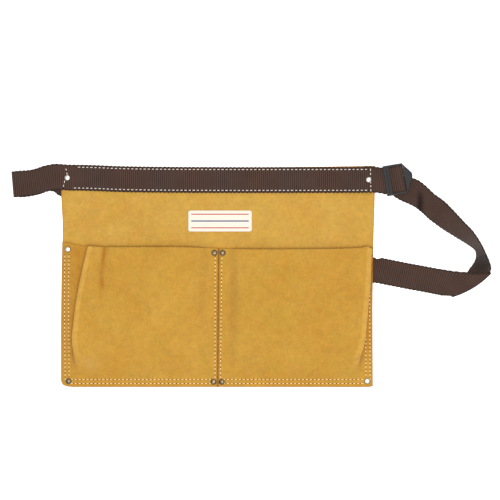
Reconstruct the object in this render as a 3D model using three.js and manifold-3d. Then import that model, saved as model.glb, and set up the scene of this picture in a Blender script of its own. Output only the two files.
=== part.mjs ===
// Carpenter nail apron: a leather panel with two open pockets and a webbing waist belt.
// It lies on its back on the floor, z = 0. The origin is the middle of the back panel's
// underside, with +X to the right, +Y towards the belt and +Z out of the front. Millimetres.

import * as THREE from 'three'
import { mergeVertices } from 'three/addons/utils/BufferGeometryUtils.js'
import Module from 'manifold-3d'

const wasm = await Module()
wasm.setup()

const { lerp, clamp, degToRad } = THREE.MathUtils

// Leather and webbing
const panelWidth = 305
const panelHeight = 215
const leather = 1.8
const webbingWidth = 25.4
const webbing = 1.5

// Room left between layers that lie on each other, and between layers that are sewn together
const seatGap = 0.3
const seamGap = 0.4

// Pockets
const pocketHeight = 136
const pocketInset = 0.2
const pocketRoom = 6.5
const sideSeam = 8
const centreSeam = 8
const centreGroove = 0.7
const centreRise = 14
const foldRun = 4.4
const ridgeRun = 2
const cornerRise = 4.8
const cornerRun = 22
const valleyDepth = 2.6
const valleySteep = 1.8
const valleyWidth = 5
const valleyPlace = 40.2

// Belt
const bandDrop = 1.1
const leftReach = 47.5
const loopReach = 112
const loopDrop = 113
const drapeRun = 25
const tailLap = 10.5
const tailLift = 0.9
const lapRun = 13
const standGap = 0.1
const rowGap = 1
const hiddenGap = 4
const shadowMargin = 1.5

// Buckle, along its own axis (u, to the right) and across it (v)
const buckleReach = 21.6
const buckleTurn = 9.5
const buckleLift = 0.5
const buckleHalfHeight = 14.7
const endBarWidth = 5
const slotWidth = 8
const middleBarU = 2.4
const middleBarWidth = 3.8
const noseSlot = 2.5
const noseLength = 7.6
const barHeight = 2.4
const railWidth = 1.4
const noseShoulder = 0.5
const slopeFoot = 0.5
const bevel = 0.4

// Rivets
const rivetHeadRadius = 2.9
const rivetHeadHeight = 1.3
const rivetShankRadius = 1.1
const washerRadius = 2.6
const washerHeight = 0.5
const holeClearance = 0.25
const bandRivetInset = 6.5
const centreRivetPlace = 4
const cornerRivetRise = 2.5
const cornerRivetInset = 2
const rivetStep = 0.7

// Label patch
const labelWidth = 61.7
const labelHeight = 20.5
const labelThickness = 0.8
const labelRise = 53.8
const labelShift = 2
const labelCorner = 2

// Places that follow from the sizes
const halfPanel = panelWidth / 2
const panelBottom = -panelHeight / 2
const panelTop = panelHeight / 2
const halfWebbing = webbingWidth / 2
const bandY = panelTop - bandDrop - halfWebbing
const strapLift = webbing + seatGap
const strapShadow = halfWebbing + shadowMargin
const flangeZ = leather + seamGap + leather / 2
const frontRise = pocketRoom - seamGap

// Outline of the panel: insets of its sides as shares of its width, by height
const panelSides = [
  { at: 0, left: 0, right: 0.0067 },
  { at: 0.27, left: 0, right: 0.0076 },
  { at: 0.46, left: 0.0016, right: 0.0076 },
  { at: 0.61, left: 0.0035, right: 0.006 },
  { at: 0.72, left: 0.005, right: 0.0035 },
  { at: 0.87, left: 0.0013, right: 0.0005 },
  { at: 1, left: 0.001, right: 0 },
]

// Top and bottom edges: how far inside the panel's height they lie, by place across
const panelEnds = [
  { at: 0, top: 0.0086, bottom: 0.027 },
  { at: 0.004, top: 0.0086, bottom: 0.014 },
  { at: 0.012, top: 0.0086, bottom: 0.0055 },
  { at: 0.03, top: 0.0086, bottom: 0.0008 },
  { at: 0.06, top: 0.0086, bottom: 0 },
  { at: 0.45, top: 0.0086, bottom: 0 },
  { at: 0.8, top: 0.004, bottom: 0 },
  { at: 0.985, top: 0, bottom: 0 },
  { at: 1, top: 0, bottom: 0.003 },
]

// The hidden stretch of belt behind the panel: its fall as a share of its whole fall
const hiddenFall = [
  { at: 0, fall: 0 },
  { at: 0.076, fall: 0.047 },
  { at: 0.188, fall: 0.146 },
  { at: 0.379, fall: 0.349 },
  { at: 0.602, fall: 0.594 },
  { at: 0.825, fall: 0.832 },
  { at: 1, fall: 1 },
]
const hiddenStart = { x: -halfPanel, y: bandY - 0.11 * webbingWidth }
const hiddenEnd = { x: halfPanel, y: bandY - 0.773 * loopDrop }

// The band's small rise towards its left end, as a share of the webbing's width
const bandRise = [
  { at: 0, rise: 0.09 },
  { at: 0.09, rise: 0.076 },
  { at: 0.2, rise: 0.027 },
  { at: 0.4, rise: 0 },
  { at: 1, rise: 0 },
]

// The side folds of each pocket, by height share from its bottom edge to its mouth. Under and
// back are shares of the pleat's two layers, turn is how far each fold is turned in degrees.
const leftPocket = {
  side: -1,
  pleatUnder: 27.2,
  pleatBack: 8,
  folds: [
    { at: 0, under: 0.04, back: 0.12, turn: 0 },
    { at: 0.07, under: 0.04, back: 0.12, turn: 0 },
    { at: 0.14, under: 0.06, back: 0.12, turn: 35 },
    { at: 0.24, under: 0.08, back: 0.14, turn: 85 },
    { at: 0.35, under: 0.14, back: 0.18, turn: 138 },
    { at: 0.43, under: 0.31, back: 0.31, turn: 162 },
    { at: 0.63, under: 0.5, back: 0.56, turn: 172 },
    { at: 0.83, under: 0.76, back: 0.81, turn: 174 },
    { at: 1, under: 1, back: 1, turn: 174 },
  ],
  mouth: [
    { at: 0, rise: 0.0086 },
    { at: 0.16, rise: 0.0086 },
    { at: 0.26, rise: 0.0014 },
    { at: 0.75, rise: 0 },
    { at: 0.97, rise: -0.0079 },
    { at: 1, rise: -0.008 },
  ],
  valley: [
    { at: 0, place: 0.9, depth: 0 },
    { at: 0.56, place: 0.9, depth: 0 },
    { at: 0.68, place: 0.91, depth: 0.4 },
    { at: 0.85, place: 0.935, depth: 0.85 },
    { at: 1, place: 1, depth: 1 },
  ],
}
const rightPocket = {
  side: 1,
  pleatUnder: 1.5,
  pleatBack: 6.3,
  folds: [
    { at: 0, under: 1, back: 0.15, turn: 0 },
    { at: 0.07, under: 1, back: 0.15, turn: 0 },
    { at: 0.14, under: 1, back: 0.15, turn: 35 },
    { at: 0.22, under: 1, back: 0.16, turn: 85 },
    { at: 0.3, under: 1, back: 0.2, turn: 135 },
    { at: 0.4, under: 1, back: 0.28, turn: 162 },
    { at: 0.615, under: 1, back: 0.58, turn: 172 },
    { at: 0.74, under: 1, back: 0.81, turn: 174 },
    { at: 1, under: 1, back: 1, turn: 174 },
  ],
  mouth: [
    { at: 0, rise: -0.0136 },
    { at: 0.01, rise: -0.0136 },
    { at: 0.042, rise: 0.0036 },
    { at: 0.08, rise: -0.004 },
    { at: 0.28, rise: -0.012 },
    { at: 0.73, rise: -0.0157 },
    { at: 1, rise: -0.011 },
  ],
  valley: [
    { at: 0, place: 1, depth: 0 },
    { at: 1, place: 1, depth: 0 },
  ],
}

// How full the pockets stand off the panel, by height share
const pocketFill = [
  { at: 0, fill: 0 },
  { at: 0.07, fill: 0 },
  { at: 0.14, fill: 0.33 },
  { at: 0.25, fill: 0.66 },
  { at: 0.38, fill: 0.9 },
  { at: 0.6, fill: 1 },
  { at: 1, fill: 1 },
]
const pocketRows = [
  0, 0.035, 0.07, 0.11, 0.15, 0.2, 0.26, 0.33, 0.4, 0.47, 0.54, 0.61, 0.68, 0.74, 0.8, 0.86, 0.91, 0.96, 1,
]
const frontSteps = [
  0.02, 0.045, 0.07, 0.095, 0.12, 0.15, 0.2, 0.32, 0.45, 0.6, 0.72, 0.82, 0.85, 0.88, 0.91, 0.935, 0.97, 1,
]

// The belt's free ends. Across is the direction of the webbing's width, tilt how far its far
// edge is raised, span its length on the slant as a share of the webbing's width.
const leftStrap = [
  { reach: 0, drop: -0.11, across: 92 },
  { reach: 0.1, drop: -0.12, across: 93 },
  { reach: 0.22, drop: -0.085, across: 97 },
  { reach: 0.33, drop: -0.03, across: 100 },
  { reach: 0.45, drop: 0.05, across: 99 },
  { reach: 0.62, drop: 0.12, across: 96 },
  { reach: 0.8, drop: 0.14, across: 95 },
]
const leftFold = { reach: 0.935, drop: 0.165, across: 94.7 }
const leftReturn = [
  { reach: 0.8, drop: 0.17, across: 95 },
  { reach: 0.62, drop: 0.12, across: 96 },
  { reach: 0.45, drop: 0.04, across: 97 },
  { reach: 0.3, drop: -0.06, across: 94 },
  { reach: 0.14, drop: -0.04, across: 88 },
]
const loopReturn = [
  { reach: 0.005, drop: 0.782, across: 77, tilt: 0, span: 0.96, level: 0 },
  { reach: 0.035, drop: 0.778, across: 77, tilt: 0, span: 1, level: 0 },
  { reach: 0.15, drop: 0.8, across: 78, tilt: 0, span: 1, level: 0 },
  { reach: 0.288, drop: 0.827, across: 79, tilt: 0, span: 1, level: 0 },
  { reach: 0.4, drop: 0.847, across: 79, tilt: 0, span: 1, level: 0.15 },
  { reach: 0.5, drop: 0.866, across: 77, tilt: 0.5, span: 1, level: 0.8 },
  { reach: 0.61, drop: 0.885, across: 62, tilt: 3, span: 1.06, level: 1 },
  { reach: 0.665, drop: 0.892, across: 48, tilt: 6, span: 1.24, level: 1 },
  { reach: 0.735, drop: 0.897, across: 36, tilt: 9, span: 1.5, level: 1 },
]
const loopFold = { reach: 0.827, drop: 0.894, across: 32.3, tilt: 9, span: 1.75, level: 0 }
const loopRise = [
  { reach: 0.868, drop: 0.828, across: 24, tilt: 13, span: 1.26, level: 0 },
  { reach: 0.893, drop: 0.778, across: 10, tilt: 34, span: 1.04, level: 0 },
  { reach: 0.909, drop: 0.73, across: 0, tilt: 56, span: 1, level: 0 },
  { reach: 0.911, drop: 0.694, across: 3, tilt: 67, span: 1, level: 0 },
  { reach: 0.906, drop: 0.658, across: 15, tilt: 75, span: 1, level: 0 },
  { reach: 0.898, drop: 0.625, across: 28, tilt: 79, span: 1, level: 0 },
  { reach: 0.884, drop: 0.59, across: 39, tilt: 80, span: 1, level: 0 },
  { reach: 0.855, drop: 0.553, across: 45, tilt: 75, span: 1, level: 0 },
  { reach: 0.816, drop: 0.512, across: 47, tilt: 68, span: 1, level: 0 },
  { reach: 0.768, drop: 0.468, across: 48, tilt: 60, span: 1, level: 0 },
  { reach: 0.711, drop: 0.422, across: 48, tilt: 54, span: 1, level: 0 },
  { reach: 0.646, drop: 0.368, across: 46, tilt: 45, span: 1, level: 0 },
  { reach: 0.575, drop: 0.304, across: 43, tilt: 35, span: 1, level: 0 },
  { reach: 0.513, drop: 0.248, across: 46, tilt: 26, span: 0.97, level: 0 },
  { reach: 0.45, drop: 0.196, across: 54, tilt: 22, span: 0.9, level: 0 },
  { reach: 0.382, drop: 0.137, across: 60, tilt: 11, span: 0.94, level: 0 },
  { reach: 0.325, drop: 0.1, across: 62, tilt: 3, span: 1, level: 0 },
  { reach: 0.278, drop: 0.08, across: 62, tilt: 0, span: 1, level: 0 },
  { reach: 0.215, drop: 0.043, across: 60, tilt: 0, span: 1, level: 0 },
]

const ease = (t) => t * t * (3 - 2 * t)
const ramp = (t) => ease(clamp(t, 0, 1))

// Value of a table's column at a place, on a smooth curve through its rows
function read(table, column, place) {
  const last = table.length - 1
  let i = 0
  while (i < last - 1 && place > table[i + 1].at) i += 1
  const slopeAt = (k) => {
    const before = table[Math.max(k - 1, 0)]
    const after = table[Math.min(k + 1, last)]
    return (after[column] - before[column]) / (after.at - before.at)
  }
  const from = table[i]
  const to = table[i + 1]
  const length = to.at - from.at
  const t = clamp((place - from.at) / length, 0, 1)
  const bend = t * (1 - t) * length
  const straight = lerp(from[column], to[column], ease(t))
  return straight + bend * ((1 - t) * slopeAt(i) - t * slopeAt(i + 1))
}

// A closed solid from two grids of points, its front skin and its back skin
function closedSheet(front, back) {
  const rows = front.length
  const columns = front[0].length
  const points = [...front.flat(), ...back.flat()]
  const size = rows * columns
  const faces = []
  const quad = (a, b, c, d) => faces.push(a, b, c, a, c, d)
  for (let i = 0; i < rows - 1; i += 1) {
    for (let j = 0; j < columns - 1; j += 1) {
      const a = i * columns + j
      const b = a + 1
      const c = b + columns
      const d = a + columns
      quad(a, b, c, d)
      quad(size + a, size + d, size + c, size + b)
    }
  }
  for (let j = 0; j < columns - 1; j += 1) {
    const low = j
    const high = (rows - 1) * columns + j
    quad(low, size + low, size + low + 1, low + 1)
    quad(high, high + 1, size + high + 1, size + high)
  }
  for (let i = 0; i < rows - 1; i += 1) {
    const near = i * columns
    const far = near + columns - 1
    quad(near, near + columns, size + near + columns, size + near)
    quad(far, size + far, size + far + columns, far + columns)
  }
  return outwardGeometry(points, faces)
}

// A geometry with its faces turned outwards, whichever way round they were listed
function outwardGeometry(points, faces) {
  let volume = 0
  const cross = new THREE.Vector3()
  for (let k = 0; k < faces.length; k += 3) {
    cross.crossVectors(points[faces[k + 1]], points[faces[k + 2]])
    volume += points[faces[k]].dot(cross)
  }
  if (volume < 0) faces.reverse()
  const geometry = new THREE.BufferGeometry().setFromPoints(points)
  geometry.setIndex(faces)
  return geometry
}

function toSolid(geometry) {
  const bare = geometry.clone()
  bare.deleteAttribute('normal')
  bare.deleteAttribute('uv')
  const merged = mergeVertices(bare, 1e-4)
  const vertProperties = new Float32Array(merged.attributes.position.array)
  const triVerts = new Uint32Array(merged.index.array)
  return new wasm.Manifold(new wasm.Mesh({ numProp: 3, vertProperties, triVerts }))
}

function toGeometry(solid) {
  const mesh = solid.getMesh()
  const geometry = new THREE.BufferGeometry()
  geometry.setAttribute('position', new THREE.BufferAttribute(mesh.vertProperties, 3))
  geometry.setIndex(new THREE.BufferAttribute(mesh.triVerts, 1))
  return geometry
}

function cutHoles(geometry, cutters) {
  return toGeometry(cutters.reduce((rest, cutter) => rest.subtract(toSolid(cutter)), toSolid(geometry)))
}

// Centre line of the hidden stretch behind the panel
function hiddenLine(x) {
  const share = clamp((x - hiddenStart.x) / (hiddenEnd.x - hiddenStart.x), 0, 1)
  const step = 0.01
  const place = (s) => lerp(hiddenStart.y, hiddenEnd.y, read(hiddenFall, 'fall', s))
  const from = Math.max(share - step, 0)
  const to = Math.min(share + step, 1)
  const slope = (place(to) - place(from)) / ((to - from) * (hiddenEnd.x - hiddenStart.x))
  return { y: place(share), heading: Math.atan(slope) }
}

// How far the panel's underside is lifted off the floor by the webbing behind it
function panelLift(x, y) {
  const line = hiddenLine(x)
  const away = Math.abs(y - line.y) * Math.cos(line.heading)
  return strapLift * ramp(1 - (away - strapShadow) / drapeRun)
}

// Edges of the panel at a height or a place across
function panelSide(side, y) {
  const share = (y - panelBottom) / panelHeight
  const inset = panelWidth * read(panelSides, side < 0 ? 'left' : 'right', clamp(share, 0, 1))
  return side * (halfPanel - inset)
}
function panelEnd(end, share) {
  const inset = panelHeight * read(panelEnds, end, share)
  return end === 'top' ? panelTop - inset : panelBottom + inset
}

// Heights of the panel's grid lines at one place across, which follow the webbing behind it
function panelHeights(share) {
  const x = lerp(-halfPanel, halfPanel, share)
  const line = hiddenLine(x)
  const shadow = strapShadow / Math.cos(line.heading)
  const foot = line.y - (strapShadow + drapeRun) / Math.cos(line.heading) - seatGap
  const bottom = panelEnd('bottom', share)
  const top = panelEnd('top', share)
  const heights = [0, 0.35, 0.7].map((s) => lerp(bottom, foot, s))
  for (let s = 0; s < 5; s += 1) heights.push(lerp(foot, line.y - shadow, s / 5))
  heights.push(line.y - shadow, line.y + shadow)
  for (let s = 1; s <= 4; s += 1) heights.push(lerp(line.y + shadow, top, s / 4))
  return heights
}

function backPanel(cutters) {
  const shares = [0, 0.012, 0.03, 0.06]
  for (let s = 0.1; s < 0.99; s += 0.05) shares.push(s)
  shares.push(0.985, 1)
  const columns = shares.map((share) => panelHeights(share).map((y) => {
    const x = lerp(panelSide(-1, y), panelSide(1, y), share)
    return new THREE.Vector3(x, y, panelLift(x, y))
  }))
  const front = columns.map((column) => column.map((p) => p.clone().setZ(p.z + leather)))
  return cutHoles(closedSheet(front, columns), cutters)
}

// A pocket's side seam and folds at one height, as a centre line from the pocket's outer edge
// inwards. Each run of leather has a length, a turn and a number of steps.
function foldedSide(pocket, height) {
  const turn = degToRad(read(pocket.folds, 'turn', height))
  const under = pocket.pleatUnder * read(pocket.folds, 'under', height)
  const back = pocket.pleatBack * read(pocket.folds, 'back', height)
  const runs = [
    { length: sideSeam, turn: 0, steps: 2 },
    { length: under, turn: 0, steps: 2 },
    { length: foldRun, turn, steps: 6 },
    { length: back, turn: 0, steps: 1 },
    { length: foldRun, turn: -turn, steps: 6 },
    { length: ridgeRun, turn: 0, steps: 1 },
  ]
  const line = [{ u: 0, z: flangeZ, heading: 0, length: 0 }]
  for (const run of runs) {
    for (let k = 0; k < run.steps; k += 1) {
      const last = line[line.length - 1]
      const step = run.length / run.steps
      const bend = run.turn / run.steps
      const heading = last.heading + bend / 2
      line.push({
        u: last.u + step * Math.cos(heading),
        z: last.z + step * Math.sin(heading),
        heading: last.heading + bend,
        length: last.length + step,
      })
    }
  }
  return line
}

// The groove between the pockets leans a little
const groovePlace = (height) => lerp(-0.2, 0.3, height) * centreSeam / 4

// One cross-section of a pocket as a centre line, from its outer edge to the centre groove
function pocketSection(pocket, height) {
  const y = lerp(panelBottom, panelBottom + pocketHeight, height)
  const outer = panelSide(pocket.side, y) - pocket.side * pocketInset
  const groove = groovePlace(height) + pocket.side * centreGroove / 2
  const whole = Math.abs(outer - groove)
  const line = foldedSide(pocket, height)
  const start = line[line.length - 1]
  const fill = read(pocketFill, 'fill', height)
  const valley = valleyPlace * read(pocket.valley, 'place', height)
  const depth = valleyDepth * read(pocket.valley, 'depth', height)
  for (const share of frontSteps) {
    const u = lerp(start.u, whole, share)
    const level = lerp(start.z, flangeZ + frontRise * fill, ramp((u - start.u) / centreRise))
    const seam = ramp((whole - u - centreSeam) / centreRise)
    const valleySide = u < valley ? valleySteep : valleyWidth
    const dip = depth * Math.exp(-(((u - valley) / valleySide) ** 2))
    line.push({ u, z: flangeZ + (level - flangeZ - dip) * seam, length: start.length + u - start.u })
  }
  return line.map((spot) => ({ ...spot, x: outer - pocket.side * spot.u, whole }))
}

// Height of a section's point between the bottom edge and the wavy mouth
function pocketY(pocket, height, spot) {
  const share = clamp(spot.u / spot.whole, 0, 1)
  const across = pocket.side < 0 ? share / 2 : 1 - share / 2
  const bottom = panelEnd('bottom', across) + seatGap
  const corner = pocket.side < 0 ? cornerRise * ramp(1 - spot.length / cornerRun) : 0
  const rise = pocketHeight * read(pocket.mouth, 'rise', share) * ramp(spot.length / cornerRun)
  return lerp(bottom, panelBottom + pocketHeight + corner + rise, height)
}

function pocketSheet(pocket, cutters) {
  const front = []
  const back = []
  for (const height of pocketRows) {
    const line = pocketSection(pocket, height)
    const skins = line.map((spot, k) => {
      const before = line[Math.max(k - 1, 0)]
      const after = line[Math.min(k + 1, line.length - 1)]
      const slant = Math.atan2(after.z - before.z, after.u - before.u)
      const y = pocketY(pocket, height, spot)
      const z = spot.z + panelLift(spot.x, y)
      const outX = pocket.side * Math.sin(slant) * leather / 2
      const outZ = Math.cos(slant) * leather / 2
      return [new THREE.Vector3(spot.x + outX, y, z + outZ), new THREE.Vector3(spot.x - outX, y, z - outZ)]
    })
    front.push(skins.map((pair) => pair[0]))
    back.push(skins.map((pair) => pair[1]))
  }
  return cutHoles(closedSheet(front, back), cutters)
}

// Place in the belt's plane of a spot on the buckle, given along and across its axis
const buckleX = halfPanel + buckleReach
function buckleSpot(u, v = 0) {
  const turn = degToRad(buckleTurn)
  return {
    x: buckleX + u * Math.cos(turn) - v * Math.sin(turn),
    y: bandY + buckleLift + u * Math.sin(turn) + v * Math.cos(turn),
  }
}

// Heights of the belt's two layers at the buckle, and of the buckle's bars over them
const underZ = leather + seatGap + webbing / 2
const overZ = underZ + webbing + seatGap
const barZ = underZ + webbing / 2 + seatGap
const endBarZ = overZ + webbing / 2 + seatGap
const crestZ = barZ + barHeight + seatGap + webbing / 2
const endBarU = middleBarU - middleBarWidth / 2 - slotWidth
const noseU = middleBarU + middleBarWidth / 2 + noseSlot

const flat = { tilt: 0, span: 1 }

// Rows round a fold: half a circle about the crease, from one layer to the next
function foldRows(row, lowZ, highZ, outward, steps) {
  const radius = (highZ - lowZ) / 2
  const rows = []
  for (let k = 0; k <= steps; k += 1) {
    const angle = degToRad(lerp(-90, 90, k / steps))
    rows.push({
      ...row,
      x: row.x + radius * Math.cos(angle) * Math.cos(outward),
      y: row.y + radius * Math.cos(angle) * Math.sin(outward),
      z: lowZ + radius + radius * Math.sin(angle),
    })
  }
  return rows
}

// The belt's first stretch: a tail under the band, round the middle bar and back over it
function buckleRows() {
  const across = 90 + buckleTurn
  const tailX = halfPanel - tailLap
  const wrapU = middleBarU + middleBarWidth / 2 - barHeight / 3
  const wrap = { ...buckleSpot(wrapU), across, ...flat }
  return [
    { x: tailX, y: bandY + tailLift, z: underZ, across: 90, ...flat },
    { x: halfPanel, y: bandY + tailLift / 2, z: underZ, across: 92, ...flat },
    { ...buckleSpot(endBarU - endBarWidth / 2, -seatGap), z: underZ, across, ...flat },
    ...foldRows(wrap, underZ, crestZ, degToRad(buckleTurn), 6),
    { ...buckleSpot(middleBarU - middleBarWidth / 3), z: crestZ, across, ...flat },
    { ...buckleSpot(middleBarU - middleBarWidth / 2 - slotWidth * 0.4), z: lerp(overZ, crestZ, 0.5), across, ...flat },
    { ...buckleSpot(endBarU + slopeFoot), z: overZ, across, ...flat },
    { ...buckleSpot(endBarU - endBarWidth / 2, -seatGap), z: overZ, across, ...flat },
    { x: halfPanel + seatGap, y: bandY, z: overZ, across: 91, ...flat },
    { x: tailX - rowGap, y: bandY, z: overZ, across: 90, ...flat },
  ]
}

// The highest point of the panel's front under the band at one place along it
function panelFrontUnderBand(x, y) {
  const samples = [-1, -0.5, 0, 0.5, 1].map((s) => panelLift(x, y + s * halfWebbing))
  return leather + Math.max(...samples)
}

function bandRows() {
  const rows = []
  const start = halfPanel - tailLap - lapRun
  const steps = 20
  for (let k = 0; k < steps; k += 1) {
    const x = lerp(start, -halfPanel + rowGap, k / steps)
    const share = (x + halfPanel) / panelWidth
    const y = bandY + webbingWidth * read(bandRise, 'rise', share)
    const z = panelFrontUnderBand(x, y) + seatGap + webbing / 2
    rows.push({ x, y, z, across: 90, ...flat })
  }
  return rows
}

// The left end, where the band folds round and goes back behind the panel
function leftRows() {
  const place = (row) => ({
    x: -halfPanel - leftReach * row.reach,
    y: bandY - webbingWidth * row.drop,
    across: row.across,
    ...flat,
  })
  const high = strapLift + leather + seatGap + webbing / 2
  const low = webbing / 2
  const outward = degToRad(leftFold.across + 90)
  return [
    ...leftStrap.map((row) => ({ ...place(row), z: high })),
    ...foldRows(place(leftFold), low, high, outward, 6).reverse(),
    ...leftReturn.map((row) => ({ ...place(row), z: low })),
  ]
}

function hiddenRows() {
  const rows = []
  const steps = 18
  for (let k = 0; k <= steps; k += 1) {
    const x = lerp(hiddenStart.x, hiddenEnd.x - hiddenGap, k / steps)
    const line = hiddenLine(x)
    const across = 90 + THREE.MathUtils.radToDeg(line.heading)
    rows.push({ x, y: line.y, z: webbing / 2, across, tilt: 0, span: k < steps ? 1 : 0.92 })
  }
  return rows
}

// Extra rows on a smooth curve through the rows given
function smoothRows(rows, steps) {
  const result = []
  const keys = Object.keys(rows[0])
  for (let i = 0; i < rows.length - 1; i += 1) {
    const [a, b, c, d] = [rows[Math.max(i - 1, 0)], rows[i], rows[i + 1], rows[Math.min(i + 2, rows.length - 1)]]
    for (let k = 0; k < steps; k += 1) {
      const t = k / steps
      const row = {}
      for (const key of keys) {
        const inward = (c[key] - a[key]) / 2
        const outward = (d[key] - b[key]) / 2
        row[key] = lerp(b[key], c[key], ease(t)) + t * (1 - t) * ((1 - t) * inward - t * outward)
      }
      result.push(row)
    }
  }
  result.push(rows[rows.length - 1])
  return result
}

// The free loop at the right, from the panel's edge round the fold and up to the buckle.
// Where it is tilted, it stands on its lower edge.
function loopRows() {
  const place = (row) => {
    const tilt = degToRad(row.tilt)
    const stand = row.span * halfWebbing * Math.sin(tilt) + webbing / 2 + standGap
    return {
      x: halfPanel + loopReach * row.reach,
      y: bandY - loopDrop * row.drop,
      z: stand + row.level * (webbing + seatGap),
      across: row.across,
      tilt: row.tilt,
      span: row.span,
    }
  }
  const crease = place(loopFold)
  const layer = webbing + seatGap
  const outward = degToRad(loopFold.across - 90)
  return [
    ...smoothRows(loopReturn, 2).map(place),
    ...foldRows(crease, crease.z, crease.z + layer, outward, 6).reverse(),
    ...smoothRows(loopRise, 2).map(place),
  ]
}

const beltRows = [...buckleRows(), ...bandRows(), ...leftRows(), ...hiddenRows(), ...loopRows()]

function beltStrip(rows, cutters) {
  const corners = rows.map((row, k) => {
    const before = rows[Math.max(k - 1, 0)]
    const after = rows[Math.min(k + 1, rows.length - 1)]
    const along = new THREE.Vector3(after.x - before.x, after.y - before.y, after.z - before.z)
    const across = degToRad(row.across)
    const tilt = degToRad(row.tilt)
    const width = new THREE.Vector3(
      Math.cos(tilt) * Math.cos(across),
      Math.cos(tilt) * Math.sin(across),
      Math.sin(tilt),
    )
    const normal = along.cross(width).normalize().multiplyScalar(webbing / 2)
    const centre = new THREE.Vector3(row.x, row.y, row.z)
    const half = width.multiplyScalar(halfWebbing * row.span)
    const near = centre.clone().sub(half)
    const far = centre.clone().add(half)
    return {
      front: [near.clone().add(normal), far.clone().add(normal)],
      back: [near.clone().sub(normal), far.clone().sub(normal)],
    }
  })
  const strip = closedSheet(corners.map((c) => c.front), corners.map((c) => c.back))
  return cutHoles(strip, cutters)
}

// The label patch, which lies on the panel's front and follows it
function labelPatch() {
  const front = []
  const back = []
  const steps = 6
  for (let i = 0; i <= steps; i += 1) {
    const s = i / steps
    const x = labelShift + labelWidth * (s - 0.5)
    const cornerCut = i === 0 || i === steps ? labelCorner : 0
    const line = [0, 0.34, 0.67, 1].map((t) => {
      const y = labelRise + (labelHeight / 2 - cornerCut) * (2 * t - 1)
      return new THREE.Vector3(x, y, panelLift(x, y) + leather + seatGap)
    })
    back.push(line)
    front.push(line.map((p) => p.clone().setZ(p.z + labelThickness)))
  }
  return closedSheet(front, back)
}

// Rivets: where each goes through, and the layers that it holds
const seamRivetU = sideSeam * 0.675
const lowRivetY = panelBottom + 0.044 * pocketHeight
const highRivetY = panelBottom + 0.965 * pocketHeight
const rivets = [
  { name: 'belt_rivet_left', x: -halfPanel + bandRivetInset, y: bandY + 0.075 * webbingWidth, holds: 'band' },
  { name: 'belt_rivet_right', x: halfPanel - bandRivetInset, y: bandY, holds: 'doubled band' },
  { name: 'pocket_rivet_left_top', side: -1, inset: seamRivetU, y: highRivetY + cornerRivetRise },
  { name: 'pocket_rivet_left_bottom', side: -1, inset: seamRivetU + cornerRivetInset, y: lowRivetY },
  { name: 'pocket_rivet_centre_top_left', side: -1, centre: centreRivetPlace, y: highRivetY - rivetStep },
  { name: 'pocket_rivet_centre_top_right', side: 1, centre: centreRivetPlace, y: highRivetY - rivetStep },
  { name: 'pocket_rivet_centre_bottom_left', side: -1, centre: centreRivetPlace, y: lowRivetY - rivetStep },
  { name: 'pocket_rivet_centre_bottom_right', side: 1, centre: centreRivetPlace, y: lowRivetY - rivetStep },
  { name: 'pocket_rivet_right_top', side: 1, inset: seamRivetU - rivetStep, y: highRivetY },
  { name: 'pocket_rivet_right_bottom', side: 1, inset: seamRivetU, y: lowRivetY },
]

function rivetPlace(rivet) {
  if (rivet.holds) return { x: rivet.x, y: rivet.y }
  const height = (rivet.y - panelBottom) / pocketHeight
  if (rivet.centre) {
    return { x: groovePlace(height) + rivet.side * rivet.centre, y: rivet.y }
  }
  const edge = panelSide(rivet.side, rivet.y) - rivet.side * pocketInset
  return { x: edge - rivet.side * rivet.inset, y: rivet.y }
}

// Top of what a rivet holds, above the panel's underside there
function rivetGrip(rivet, place) {
  const lift = panelLift(place.x, place.y)
  if (!rivet.holds) return flangeZ + leather / 2
  if (rivet.holds === 'band') return panelFrontUnderBand(place.x, place.y) + seatGap + webbing - lift
  return overZ + webbing / 2 - lift
}

function rivetGeometry(grip) {
  const head = grip + seatGap
  const profile = [
    [0, 0],
    [washerRadius, 0],
    [washerRadius, washerHeight],
    [rivetShankRadius, washerHeight],
    [rivetShankRadius, head],
    [rivetHeadRadius, head],
    [rivetHeadRadius * 0.93, head + rivetHeadHeight * 0.45],
    [rivetHeadRadius * 0.62, head + rivetHeadHeight * 0.85],
    [0, head + rivetHeadHeight],
  ]
  const lathe = new THREE.LatheGeometry(profile.map(([r, z]) => new THREE.Vector2(r, z)), 12)
  return lathe.rotateX(Math.PI / 2)
}

// A straight cutter round the shank from a height up, and one for the washer's seat in the
// panel's underside
function shankHole(place, low = -leather) {
  const radius = rivetShankRadius + holeClearance
  const height = 8 * leather
  const hole = new THREE.CylinderGeometry(radius, radius, height, 12)
  return hole.rotateX(Math.PI / 2).translate(place.x, place.y, low + height / 2)
}
function washerSeat(place) {
  const depth = washerHeight + holeClearance
  const radius = washerRadius + holeClearance
  const seat = new THREE.CylinderGeometry(radius, radius, 2 * depth, 12)
  return seat.rotateX(Math.PI / 2).translate(place.x, place.y, panelLift(place.x, place.y))
}

const rivetPlaces = rivets.map(rivetPlace)
const holesWhere = (test, low) => {
  const places = rivetPlaces.filter((_, k) => test(rivets[k]))
  return places.map((place) => shankHole(place, low))
}

// The buckle in its own frame: bars, rails and nose joined into one moulding
function bevelledPlate(shape, low, height) {
  const plate = new THREE.ExtrudeGeometry(shape, {
    depth: height - 2 * bevel,
    bevelEnabled: true,
    bevelThickness: bevel,
    bevelSize: bevel,
    bevelOffset: -bevel,
    bevelSegments: 1,
    curveSegments: 4,
  })
  return toSolid(plate.translate(0, 0, low + bevel))
}

function rectangle(left, right, low, high) {
  return new THREE.Shape([
    new THREE.Vector2(left, low),
    new THREE.Vector2(right, low),
    new THREE.Vector2(right, high),
    new THREE.Vector2(left, high),
  ])
}

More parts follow.
